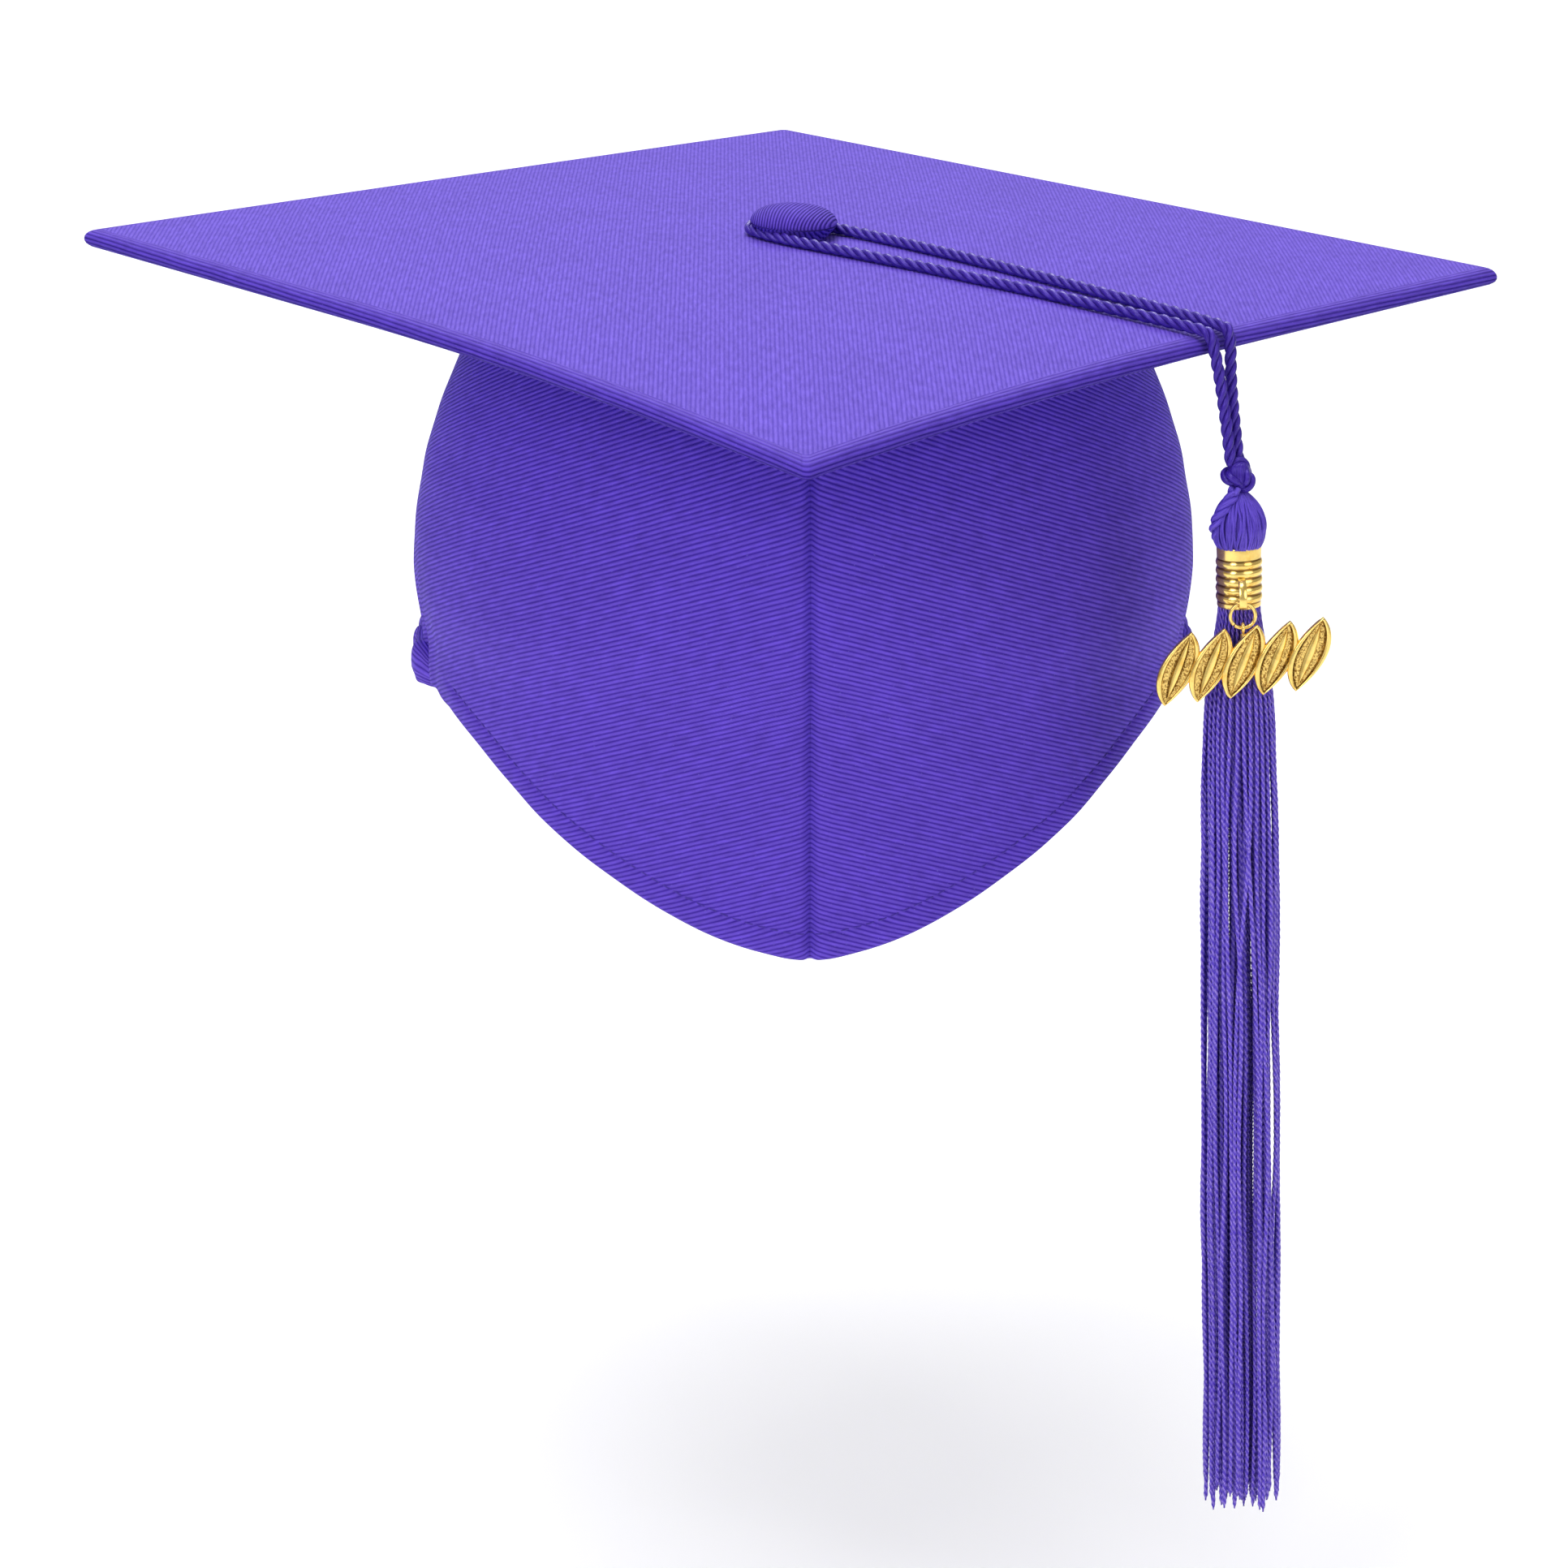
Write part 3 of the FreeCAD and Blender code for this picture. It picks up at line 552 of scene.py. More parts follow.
def elastic_material():
    shader = Shader("braided_elastic", Specular_IOR_Level=0.3)
    place = shader.coordinates((1000, 1000, 1000), source="Object")
    cords = shader.waves(place, 1.1, 0.3, 1.0, "Z")
    braid = shader.noise(place, 1.4, 3.0)
    shader.set(Base_Color=shader.ramp(cords, (0.0, (0.55, 0.55, 0.54, 1)), (0.8, (0.86, 0.86, 0.84, 1))))
    shader.set(Roughness=shader.math("MULTIPLY_ADD", braid, 0.2, 0.6))
    shader.bump(shader.math("MULTIPLY_ADD", braid, 0.4, cords), 0.00025)
    return shader.material


# Each twill's second colour is the painted shade in its rib valleys.
board_twill = twill_material("board_twill", (0.133, 0.079, 0.51, 1), (0.074, 0.038, 0.385, 1),
                             pitch=1.0, depth=0.00008)
# The edge's valley colour is much darker than the top's, as painted shade on the board's side and the bottom of
# its edge.
edge_twill = twill_material("edge_twill", (0.10, 0.052, 0.50, 1), (0.018, 0.004, 0.20, 1),
                            pitch=0.95, depth=0.00022, rib_wave=0.25, fade=(0.112, 0.064, 0.46, 1))
skull_twill = twill_material("skull_twill", (0.135, 0.072, 0.585, 1), (0.050, 0.020, 0.330, 1),
                             pitch=1.15, depth=0.00022)
button_twill = twill_material("button_twill", (0.12, 0.066, 0.52, 1), (0.024, 0.007, 0.22, 1),
                              pitch=1.0, depth=0.00030, rib_wave=0.3)
inside_twill = twill_material("inside_twill", (0.12, 0.065, 0.52, 1), (0.06, 0.028, 0.34, 1),
                              pitch=1.15, depth=0.00014)
STRAND_GIRTH = 3.1
rope_yarn = yarn_material("rope_yarn", (0.075, 0.032, 0.43, 1), (0.009, 0.002, 0.13, 1), fibre=0.09, gloss=0.24)
fringe_yarn = yarn_material("fringe_yarn", (0.50, 0.36, 1.0, 1), (0.046, 0.012, 0.50, 1), fibre=0.12, gloss=0.32,
                            twist=(STRAND_GIRTH, 2, 0.90))
head_yarn = yarn_material("head_yarn", (0.19, 0.11, 0.80, 1), (0.011, 0.003, 0.17, 1), fibre=0.08, gloss=0.24)
thread = yarn_material("sewing_thread", (0.11, 0.06, 0.48, 1), (0.04, 0.017, 0.26, 1), fibre=0.05, gloss=0.5)
gold = gold_material("gold_plate")
gold_ground = gold_material("gold_ground", "ground")
gold_crease = gold_material("gold_crease", "crease")
gold_ribs = gold_material("gold_ribs", "ribs")
steel = steel_material()
card = card_material()
interfacing = interfacing_material()
elastic = elastic_material()


# ---- Camera, light and floor ----

CAMERA_PLACE = (-0.01799, -0.98550, 0.31157)
CAMERA_TILT = 0.336998
CAMERA_TURN = -0.0134359
SENSOR = 36.0
FOCAL_SHARE = 5150 / 1932
FLOOR_HEIGHT = cad_box[0][2] - 0.045


def add_camera():
    data = bpy.data.cameras.new("camera")
    data.sensor_width = SENSOR
    data.lens = FOCAL_SHARE * SENSOR
    data.clip_start = 0.01
    data.clip_end = 60
    camera = bpy.data.objects.new("camera", data)
    camera.location = CAMERA_PLACE
    camera.rotation_euler = (pi / 2 - CAMERA_TILT, 0, CAMERA_TURN)
    bpy.context.scene.collection.objects.link(camera)
    bpy.context.scene.camera = camera


def add_light(name, place, aim, size, power):
    data = bpy.data.lights.new(name, "AREA")
    data.shape = "DISK"
    data.size = size
    data.energy = power
    lamp = bpy.data.objects.new(name, data)
    lamp.location = place
    lamp.rotation_euler = (Vector(aim) - Vector(place)).to_track_quat("-Z", "Y").to_euler()
    bpy.context.scene.collection.objects.link(lamp)


def add_studio():
    world = bpy.data.worlds.new("studio")
    world.use_nodes = True
    background = world.node_tree.nodes["Background"]
    background.inputs["Color"].default_value = (1.0, 1.0, 1.0, 1)
    background.inputs["Strength"].default_value = 0.36
    bpy.context.scene.world = world
    middle = (0.0, 0.0, 0.03)
    add_light("overhead", (-0.2, -0.1, 2.2), middle, 1.6, 32.0)
    add_light("key", (-1.1, -1.3, 1.0), middle, 1.0, 13.0)
    add_light("fill", (1.3, -1.4, 0.8), middle, 1.2, 7.5)
    add_light("background", (0.0, 3.5, 3.0), (0.0, 2.5, -0.3), 3.0, 120.0)
    floor_points = np.array([[(-9, -9), (-9, 9)], [(9, -9), (9, 9)]], float)
    heights = np.full((2, 2, 1), FLOOR_HEIGHT)
    shader = Shader("pale_floor", Specular_IOR_Level=0.1)
    tone = shader.noise(shader.coordinates(source="Object"), 3.0, 3.0)
    shader.set(Base_Color=shader.ramp(tone, (0.2, grey(0.96)), (0.8, grey(0.99))))
    shader.set(Roughness=shader.math("MULTIPLY_ADD", tone, 0.1, 0.8))
    floor = make_piece("floor", [grid(np.concatenate([floor_points, heights], axis=2), floor_points)],
                       shader.material, None)


# ---- The rope ----

PLY_RADIUS = 0.68 * MM
PLY_OFFSET = 0.74 * MM
PLY_PITCH = 9 * MM
ROPE_STEP = 0.5 * MM


def spline_points(points):
    """Points on the smooth line that has the route's points as its control points."""
    curve = bpy.data.curves.new("cord_route", "CURVE")
    curve.dimensions = "3D"
    spline = curve.splines.new("NURBS")
    spline.points.add(len(points) - 1)
    for point, place in zip(spline.points, points):
        point.co = (*place, 1)
    spline.order_u = 3
    spline.use_endpoint_u = True
    spline.resolution_u = 32
    holder = bpy.data.objects.new("cord_route", curve)
    mesh = bpy.data.meshes.new_from_object(holder)
    line = np.array([vertex.co for vertex in mesh.vertices])
    bpy.data.objects.remove(holder)
    bpy.data.curves.remove(curve)
    bpy.data.meshes.remove(mesh)
    return line


def plies(line, count, offset, radius, pitch, phase=0.0):
    """Twisted plies round a line."""
    side, up = frames_along(line)
    along = distance_along(line)
    made = []
    for number in range(count):
        angle = phase + 2 * pi * along / pitch + number * 2 * pi / count
        path = line + offset * (side * np.cos(angle)[:, None] + up * np.sin(angle)[:, None])
        made.append(round_tube(path, radius, 10))
    return made


def add_rope():
    line = spline_points(ROUTE)
    length = length_of(line)
    line = evenly(line, int(length / ROPE_STEP))
    rope = make_piece("tassel_cord", plies(line, 3, PLY_OFFSET, PLY_RADIUS, PLY_PITCH), rope_yarn, None,
                      ["tassel_loop_cord", "hanging_cord_front", "hanging_cord_back"])
    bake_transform(rope)
    return rope, line, length


# ---- Board ----

def board_rise(x, y):
    """Height of the board's top above the plane of its corners, at x, y from its centre."""
    one_way = (x + y) / half_diagonal
    other_way = (x - y) / half_diagonal
    crown = BOARD_CROWN * (1 - one_way**2) * (1 - other_way**2)
    twist = CORNER_TWIST * (x**2 - y**2) / half_diagonal**2
    towards_corner = (-y / half_diagonal - FRONT_SAG_START) / (1 - FRONT_SAG_START)
    sag = FRONT_SAG * np.maximum(0, towards_corner) ** 2
    return crown + twist - sag - x * tan(radians(BOARD_TILT))


def board_point(a, b, below):
    """A point of the board from distances along its two edge directions, and below its top."""
    x, y = (a + b) / sqrt(2), (a - b) / sqrt(2)
    return np.stack([board_centre_x + x, y, board_height + board_rise(x, y) - below], axis=-1)


def square_loops(half, corner, count):
    """A grid over a square with round corners, and the outward direction at its border."""
    fine = np.linspace(0, corner, 5)[1:]
    middle = np.linspace(-half + corner, half - corner, count)
    line = np.concatenate([-half + corner - fine[::-1], middle, half - corner + fine])
    a, b = np.meshgrid(line, line, indexing="ij")
    past_a = np.abs(a) - (half - corner)
    past_b = np.abs(b) - (half - corner)
    in_corner = (past_a > 0) & (past_b > 0)
    reach = np.hypot(past_a, past_b)
    share = np.where(in_corner, np.maximum(past_a, past_b) / np.maximum(reach, 1e-9), 1)
    a = np.where(in_corner, np.sign(a) * (half - corner + past_a * share), a)
    b = np.where(in_corner, np.sign(b) * (half - corner + past_b * share), b)
    return a, b


def border(array):
    """A grid's border as one loop."""
    return np.concatenate([array[:-1, 0], array[-1, :-1], array[:0:-1, -1], array[0, :0:-1]])


# Sections over the board's edge, of the cloth and of the board under it: how far in from the edge, and how
# far below the top, in millimetres.
RIM = [(3.4, 0.0), (2.7, 0.03), (2.0, 0.13), (1.4, 0.32), (0.85, 0.64), (0.42, 1.08), (0.14, 1.62),
       (0.02, 2.2), (0.06, 2.8), (0.28, 3.3), (0.7, 3.7), (1.4, 3.95), (3.0, 4.05)]
CARD_RIM = [(4.0, 0.52), (2.4, 0.62), (1.6, 0.92), (1.0, 1.5), (0.8, 2.1), (0.95, 2.7), (1.5, 3.15),
            (2.4, 3.4), (4.0, 3.46)]
BOARD_LINES = 110


def board_band(rim, slack_size):
    """A band round the board's edge that follows a section, with its rows' distances along the section."""
    loops = []
    depths = distance_along(np.array(rim))
    for number, (back, below) in enumerate(rim):
        half = BOARD_SIDE / 2 - back * MM
        a, b = [border(way) for way in square_loops(half, BOARD_CORNER, BOARD_LINES)]
        out_a, out_b = [border(way) for way in square_loops(half + MM, BOARD_CORNER, BOARD_LINES)]
        if number == 0:
            steps = np.hypot(np.diff(a, append=a[:1]), np.diff(b, append=b[:1]))
            along = np.concatenate([[0], np.cumsum(steps)])
        slack = slack_size * wander(along[:-1], along[:-1] * 0 + below * MM, 14 * MM, 8) * min(1, below)
        loops.append(board_point(a + (out_a - a) * slack, b + (out_b - b) * slack, below * MM))
    uv = joined(depths[:, None] + RIM_DRIFT * along[None, :] / MM, along[None, :] / MM)
    return grid(np.array(loops)[:, ::-1], uv[:, ::-1], closed_columns=True)


def board_face(back, below, ripple=0.0):
    """The board's plan as a grid that faces up."""
    a, b = square_loops(BOARD_SIDE / 2 - back * MM, BOARD_CORNER, BOARD_LINES)
    from_edge = BOARD_SIDE / 2 - np.maximum(np.abs(a), np.abs(b))
    waves = ripple * (wander(a, b, 60 * MM, 3) + 0.5 * wander(a, b, 22 * MM, 4))
    points = board_point(a, b, below * MM - waves * smooth_step(from_edge, back * MM, 20 * MM))[:, ::-1]
    return grid(points, points[..., :2] / MM)


def add_board():
    top = board_face(*RIM[0], ripple=0.10 * MM)
    cover = make_piece("board_cover_top", [top, board_band(RIM, 0.10)], [board_twill, edge_twill],
                       "cap", ["board_top_cover"], thickness=0.45 * MM, material_of=[0, 1], weld=True)
    whole_card = merged([board_face(*CARD_RIM[0]), board_band(CARD_RIM, 0.0), flipped(board_face(*CARD_RIM[-1]))])
    make_piece("board_card", [whole_card], card, "cap", ["board_core"], weld=True)
    inset = 1.0
    below = BOARD_THICKNESS / MM - 0.05
    under = make_piece("board_cover_under", [flipped(board_face(inset, below, 0.06 * MM))], inside_twill,
                       "cap", ["board_under_cover"], thickness=0.4 * MM)


# ---- Button ----


def add_button():
    """Fabric over a dome, with its fullness gathered in under the rim."""
    profile = [(2.6, 0.10), (5.0, 0.06), (7.3, 0.05), (7.9, 0.5), (8.5, 1.3), (9.3, 2.3), (9.95, 3.1),
               (10.1, 3.6), (9.85, 4.3), (9.2, 5.1), (8.1, 5.85), (6.6, 6.42), (4.8, 6.78), (2.6, 6.96)]
    top = 7.0 * MM
    line = through(np.array(profile) * MM, 64)
    last_radius, last_height = line[-1]
    share = np.linspace(1, 0, 10)[1:-1]
    crown = joined(last_radius * share, last_height + (top - last_height) * (1 - share**2))
    line = np.vstack([line, crown, [[0.02 * MM, top]]])

    def gathers(angle, radius, height):
        under = 1 - smooth_step(height, 1.6 * MM, 4.4 * MM)
        return under * (pleats(angle, 31, 1.5, 5, 1) * 0.16 * MM) * smooth_step(radius, 3 * MM, 8 * MM)

    points, faces = turned(line, 128, gathers)
    quads, _ = faces[0]
    over = points[:, 2] - BUTTON_RIM
    stretch = 1 + 0.35 * (points[:, 0] ** 2 + points[:, 1] ** 2) / BUTTON_RADIUS**2 * (over > 0)
    uv = points[:, :2] / MM * stretch[:, None] @ np.array(Matrix.Rotation(radians(-18), 2))
    angle = np.arctan2(points[:, 1], points[:, 0])
    down = np.minimum(over, 0)
    uv += 0.35 * down[:, None] / MM * joined(np.cos(angle), np.sin(angle))
    place = Matrix.Translation(Vector(board_top_middle)) @ Matrix.Rotation(radians(BOARD_TILT), 4, "Y")
    part = moved((points, [(quads, uv[quads])]), place)
    make_piece("button_fabric", [part], button_twill, "cap", ["button_cover"], thickness=0.3 * MM)


# ---- Skull cap ----

def skull_radius_at(z):
    rise = np.maximum(0, (z - WIDEST_HEIGHT) / (board_height - WIDEST_HEIGHT))
    drop = np.clip((WIDEST_HEIGHT - z) / WAIST_SPAN, 0, 1)
    crown = (SKULL_RADIUS - CROWN_RADIUS) * rise**CROWN_FULLNESS
    return SKULL_RADIUS - crown - WAIST_DEPTH * (1 - np.cos(pi * drop)) / 2


def hem_height(degrees):
    share = np.minimum(1, np.abs(degrees) / POINT_END)
    level = (1 - POINT_SHARPNESS) * np.cos(pi * share / 2) ** 2 + POINT_SHARPNESS * (1 - share) ** 2
    return -POINT_DEPTH * level


def under_board(degrees, depth):
    """Height of the board's underside over the skull cap's surface at an angle."""
    angle = np.radians(degrees)
    z = np.full(np.shape(degrees), board_height)
    for _ in range(4):
        radius = skull_radius_at(z) - depth
        x, y = radius * np.sin(angle) - board_centre_x, -radius * np.cos(angle)
        z = board_height + board_rise(x, y) - BOARD_THICKNESS
    return z


# How steeply the ribs of the skull cap's cloth climb away from the front seam. They climb more after the
# reach, which is in millimetres round the skull cap. The cloth's radius is in millimetres too.
RIB_LEAN = 0.29
SIDE_RIB_LEAN = 0.15
RIB_LEAN_REACH = 60
CLOTH_RADIUS = 92


def skull_sheet(degrees, low, high, depth, rows, shape):
    """A grid over part of the skull cap, between two heights at each angle and at a depth under its surface.
    shape adds to the radius."""
    share = np.linspace(0, 1, rows)[:, None]
    z = low[None, :] + (high - low)[None, :] * share
    degrees = np.broadcast_to(degrees[None, :], z.shape)
    angle = np.radians(degrees)
    radius = skull_radius_at(z) - depth + shape(degrees, z, low[None, :])
    around = np.abs(angle) * CLOTH_RADIUS
    lean = RIB_LEAN * around
    lean = lean + SIDE_RIB_LEAN * (around - RIB_LEAN_REACH * (1 - np.exp(-around / RIB_LEAN_REACH)))
    return grid(round_front(radius, angle, z), joined(z / MM + lean, around))


def half_sheet(sign, *sheet):
    """A sheet on the skull cap's left or right half, with its faces outwards."""
    part = skull_sheet(*sheet)
    return flipped(part) if sign > 0 else part


def gathered(degrees, z):
    """Folds that the elastic draws in, at the sides and back."""
    side = smooth_step(np.abs(degrees), CASING_START - 2, CASING_START + 14)
    fold = pleats(radians(1) * degrees, 46, 1.3, 9) * 0.75 + 0.4 * wander(degrees, degrees * 0, 7, 31)
    return side * fold * bell(np.maximum(0, z - 7 * MM), 17 * MM) * MM


def large_waves(arc, z):
    """The panel's slow waves, which the layers inside it follow."""
    return 0.45 * MM * wander(arc, z, 70 * MM, 41)


def panel_shape(degrees, z, low):
    """How the panel's surface differs from a plain one: seams, hem, slack cloth and gathers."""
    arc = np.abs(np.radians(degrees)) * SKULL_RADIUS
    back = (pi - np.abs(np.radians(degrees))) * SKULL_RADIUS
    seam = sum(-1.8 * MM * bell(d, 1.2 * MM) + 0.45 * MM * bell(d - 5.5 * MM, 3.4 * MM) for d in (arc, back))
    from_hem = z - low
    front = 1 - smooth_step(np.abs(degrees), CASING_START - 4, CASING_START)
    stitch_groove = 0.5 * MM * bell(from_hem - HEM_WIDTH, 0.7 * MM)
    hem = front * (0.35 * MM * bell(from_hem - 3.2 * MM, 2.6 * MM) - stitch_groove)
    roll = 0.8 * MM
    inside = np.clip(1 - from_hem / roll, 0, 1)
    hem = hem - front * roll * (1 - np.sqrt(np.maximum(0, 1 - inside**2))) * 0.8
    slack = large_waves(arc, z) + 0.16 * MM * wander(arc, z * 1.6, 24 * MM, 42)
    slack = slack * smooth_step(arc, 6 * MM, 20 * MM)
    crown_tuck = -0.5 * MM * bell(z - board_height + 4 * MM, 3.0 * MM)
    return seam + hem + slack + crown_tuck + gathered(degrees, z)


def angles(start, end, step=1.0):
    return np.linspace(start, end, int(abs(end - start) / step) + 1)


def panel_low(degrees):
    """The panel's lower edge: the front hem, then behind the casing's top."""
    behind = smooth_step(np.abs(degrees), CASING_START + 10, CASING_START + 16)
    return hem_height(degrees) * (1 - behind) + 6.3 * MM * behind


def add_skull():
    for side, sign in (("left", -1), ("right", 1)):
        near_front, between, near_back = angles(0, 7, 0.25), angles(7, 173), angles(173, 180, 0.25)
        fine = np.concatenate([near_front, between[1:], near_back[1:]]) * sign
        past_seam = 0.12
        fine[0] = -past_seam * sign
        fine[-1] = (180 + past_seam) * sign
        part = half_sheet(sign, fine, panel_low(fine), under_board(fine, 0) + 0.15 * MM, 0, 170, panel_shape)
        panel = make_piece("skull_cloth_" + side, [part], skull_twill, "cap",
                           ["skull_panel_" + side], thickness=0.75 * MM)

        front = angles(0.5, CASING_START - 1) * sign
        hem = hem_height(front)
        facing_top = hem + HEM_WIDTH
        part = half_sheet(sign, front, facing_top + 0.4 * MM, under_board(front, 1 * MM) - 0.2 * MM, 0.95 * MM,
                          60, inner_shape)
        make_piece("front_stiffener_" + side, [part], interfacing, "cap",
                   ["front_stiffener_" + side], thickness=0.4 * MM)
        part = half_sheet(sign, front, hem + 0.35 * MM, facing_top, 1.0 * MM, 12, inner_shape)
        make_piece("front_facing_" + side, [part], inside_twill, "cap", ["hem_facing_" + side],
                   thickness=0.45 * MM)


def inner_shape(degrees, z, low):
    """The inner layers follow the panel's larger waves, and lie flat over the seam."""
    arc = np.abs(np.radians(degrees)) * SKULL_RADIUS
    slack = large_waves(arc, z) * smooth_step(arc, 6 * MM, 20 * MM)
    return slack - 0.5 * MM * bell(z - board_height + 4 * MM, 3.0 * MM) - 0.9 * MM * bell(arc, 2.0 * MM)


SEAM_ALLOWANCE = 9.0 * MM


def add_seam_allowances():
    """The turned-in edges of the front and back seams, with their ends lifted a little from the panel."""
    half = np.degrees(SEAM_ALLOWANCE / SKULL_RADIUS)
    for name, middle, low_of, depth in (
            ("front", 0, lambda degrees: hem_height(degrees) + HEM_WIDTH + 0.3 * MM, 1.55 * MM),
            ("back", 180, lambda degrees: degrees * 0 + 8.2 * MM, 1.0 * MM)):

        def lie(degrees, z, low, middle=middle):
            arc = np.abs(np.radians(degrees - middle)) * SKULL_RADIUS
            slack = large_waves(arc, z) * smooth_step(arc, 6 * MM, 20 * MM)
            lift = -0.25 * MM * smooth_step(arc, 6 * MM, 9 * MM) * (1 + wander(z, z * 0, 12 * MM, 52))
            return slack + lift - 1.4 * MM * bell(arc, 1.4 * MM)

        parts = []
        for sign in (-1, 1):
            span = middle + angles(0.05, half, 0.25) * sign
            top = under_board(span, 2 * MM) - 0.3 * MM
            parts.append(half_sheet(sign, span, low_of(span), top, depth, 90, lie))
        make_piece(name + "_seam_edges", parts, inside_twill, "cap", [name + "_seam_allowance"],
                   thickness=0.4 * MM)


def add_crown_flange():
    """The skull cap's top edge, turned in under the board and eased in small pleats."""
    outer, width, middle = 65.4, 10.0, 60
    around = np.linspace(0, 2 * pi, 241)
    angle = around[:-1]
    share = np.linspace(0, 1, 14)[:, None]
    radius = (outer - width * share) * MM
    pleat = 0.28 * MM * pleats(angle, 38, 1.4, 3) * share
    x, y = radius * np.sin(angle), -radius * np.cos(angle)
    below = BOARD_THICKNESS + 0.25 * MM + 0.25 * MM * share + np.abs(pleat)
    z = board_height + board_rise(x - board_centre_x, y) - below
    part = grid(joined(x, y, z), joined(-share * width, around[None, :] * middle), closed_columns=True)
    make_piece("crown_edge", [part], inside_twill, "cap", ["crown_flange"], thickness=0.35 * MM)


CASING_RADIUS = 93.7 * MM
CASING_HEIGHT = 2.5 * MM
# The millimetres of V for each radian round the casing.
CASING_CLOTH_RADIUS = 94


def add_casing():
    """A gathered tunnel of cloth round the elastic, puckered at its two front ends."""
    sides, girth = 28, 26
    span = angles(CASING_START + 7, 360 - CASING_START - 7, 0.4)
    around = ring_angles(sides)
    from_end = np.minimum(span - span[0], span[-1] - span)[:, None]
    swell = np.sqrt(np.clip(from_end / 4.0, 0.03, 1))
    emerge = smooth_step(from_end, 0, 6)
    angle = np.radians(span)[:, None]
    pucker = pleats(angle, 47, 1.6, 11) + 0.6 * wander(span, span * 0, 4.5, 61)[:, None]
    half_depth = 2.3 * MM * (1 + 0.16 * pucker)
    half_height = (3.2 + 1.8 * emerge) * MM * (1 + 0.05 * np.roll(pucker, 3, axis=0))
    bulge, tall = [np.abs(wave) ** 0.75 * np.sign(wave) for wave in (np.cos(around), np.sin(around))]
    creases = 0.22 * MM * wander(angle * SKULL_RADIUS, around[None, :] * 3 * MM, 5 * MM, 62)
    radius = CASING_RADIUS - 3.0 * MM * (1 - emerge) + swell * (half_depth * bulge + creases)
    z = CASING_HEIGHT - 1.5 * MM * (1 - emerge) + half_height * tall
    z = z + 0.35 * MM * wander(span, span * 0, 9, 63)[:, None]
    uv = joined(np.linspace(0, girth, sides + 1)[None, :], angle * CASING_CLOTH_RADIUS)
    part = grid(round_front(radius, angle, z)[:, ::-1], uv[:, ::-1], closed_columns=True)
    make_piece("gathered_casing", [capped(part, sides)], skull_twill, "cap", ["elastic_casing"])


def add_elastic():
    """The braided elastic that runs inside the casing."""
    width, thickness = 6.0, 1.2
    angle = np.radians(angles(CASING_START + 11, 360 - CASING_START - 11))[:, None]
    corners = [(-1, -1), (-1, 1), (1, 1), (1, -1)]
    section = np.array(corners) * (thickness / 2, width / 2) * MM
    points = round_front(CASING_RADIUS + section[:, 0], angle, CASING_HEIGHT + section[:, 1])
    along_section = np.cumsum([0, width, thickness, width, thickness])
    uv = joined(along_section[None, :], angle * CASING_CLOTH_RADIUS)
    part = capped(grid(points, uv, closed_columns=True), len(corners))
    make_piece("braided_elastic", [part], elastic, "cap", ["elastic_band"])


def add_stitches():
    """Machine stitches along the front hem, each a small arch of thread."""
    pitch, stitch, thread_radius = 3.0 * MM, 2.3 * MM, 0.17 * MM
    ends = CASING_START - 4
    fine = angles(-ends, ends, 0.1)
    low = hem_height(fine)
    z = low + HEM_WIDTH
    radius = skull_radius_at(z) + panel_shape(fine, z, low)
    angle = np.radians(fine)
    line, away = round_front(radius, angle, z), round_front(1, angle, 0)
    along = distance_along(line)
    share = np.linspace(0, 1, 9)
    arch = (0.16 - 0.42 * np.abs(2 * share - 1) ** 4)[:, None] * MM
    parts = []
    for start in np.arange(0.4 * MM, along[-1] - pitch, pitch):
        want = start + share * stitch
        path = at_distances(want, along, line) + at_distances(want, along, away) * arch
        parts.append(round_tube(path, thread_radius, 6))
    make_piece("hem_stitching", parts, thread, "cap", ["hem_stitches"])


# ---- Tassel ----

def tassel_frame():
    turn = Matrix.Rotation(radians(-TASSEL_LEAN), 4, Vector(along_edge))
    return Matrix.Translation(Vector(knot_centre)) @ turn


def on_tassel(parts):
    """Parts made about the tassel's own axis, moved to where it hangs."""
    return [moved(part, tassel_frame()) for part in parts]


# Heights on the tassel are from the middle of its knot.
FERRULE_TOP = -16.0 * MM
FERRULE_BOTTOM = -29.8 * MM
FERRULE_RADIUS = 5.0 * MM
HOOK_OUT = 7.0 * MM
HOOK_HEIGHT = -27.8 * MM
RING_RADIUS = 2.8 * MM
RING_WIRE_RADIUS = 0.42 * MM
BAIL_HEIGHT = HOOK_HEIGHT - 2 * RING_RADIUS
FRINGE_LENGTH = 223 * MM


def add_knot():
    """An overhand knot of the doubled cord, drawn tight into a lumpy ball."""
    t = np.linspace(0, 2 * pi, 181)
    trefoil = joined(np.sin(t) + 2 * np.sin(2 * t), np.cos(t) - 2 * np.cos(2 * t), -np.sin(3 * t) * 1.3)
    line = trefoil * np.array([0.82, 0.95, 1.05]) * MM
    turn = np.array(Matrix.Rotation(radians(64), 3, "X") @ Matrix.Rotation(radians(35), 3, "Z"))
    line = evenly(line @ turn.T, 220)
    parts = plies(line, 3, offset=0.90 * MM, radius=0.74 * MM, pitch=8 * MM, phase=0.6)
    core = through([(0.05, -3.4), (2.0, -2.6), (2.7, 0), (2.0, 2.6), (0.05, 3.4)], 24) * MM
    parts.append(turned(core, 32))
    return make_piece("cord_knot", on_tassel(parts), rope_yarn, "hanging_cord", ["tassel_knot"])


# The yarn head's radii and heights, in millimetres.
HEAD_PROFILE = [(1.4, -3.6), (2.6, -4.8), (4.0, -6.6), (5.2, -8.9), (5.75, -11.0), (5.7, -13.0), (5.3, -15.0),
                (4.7, -16.3), (4.4, -16.9)]


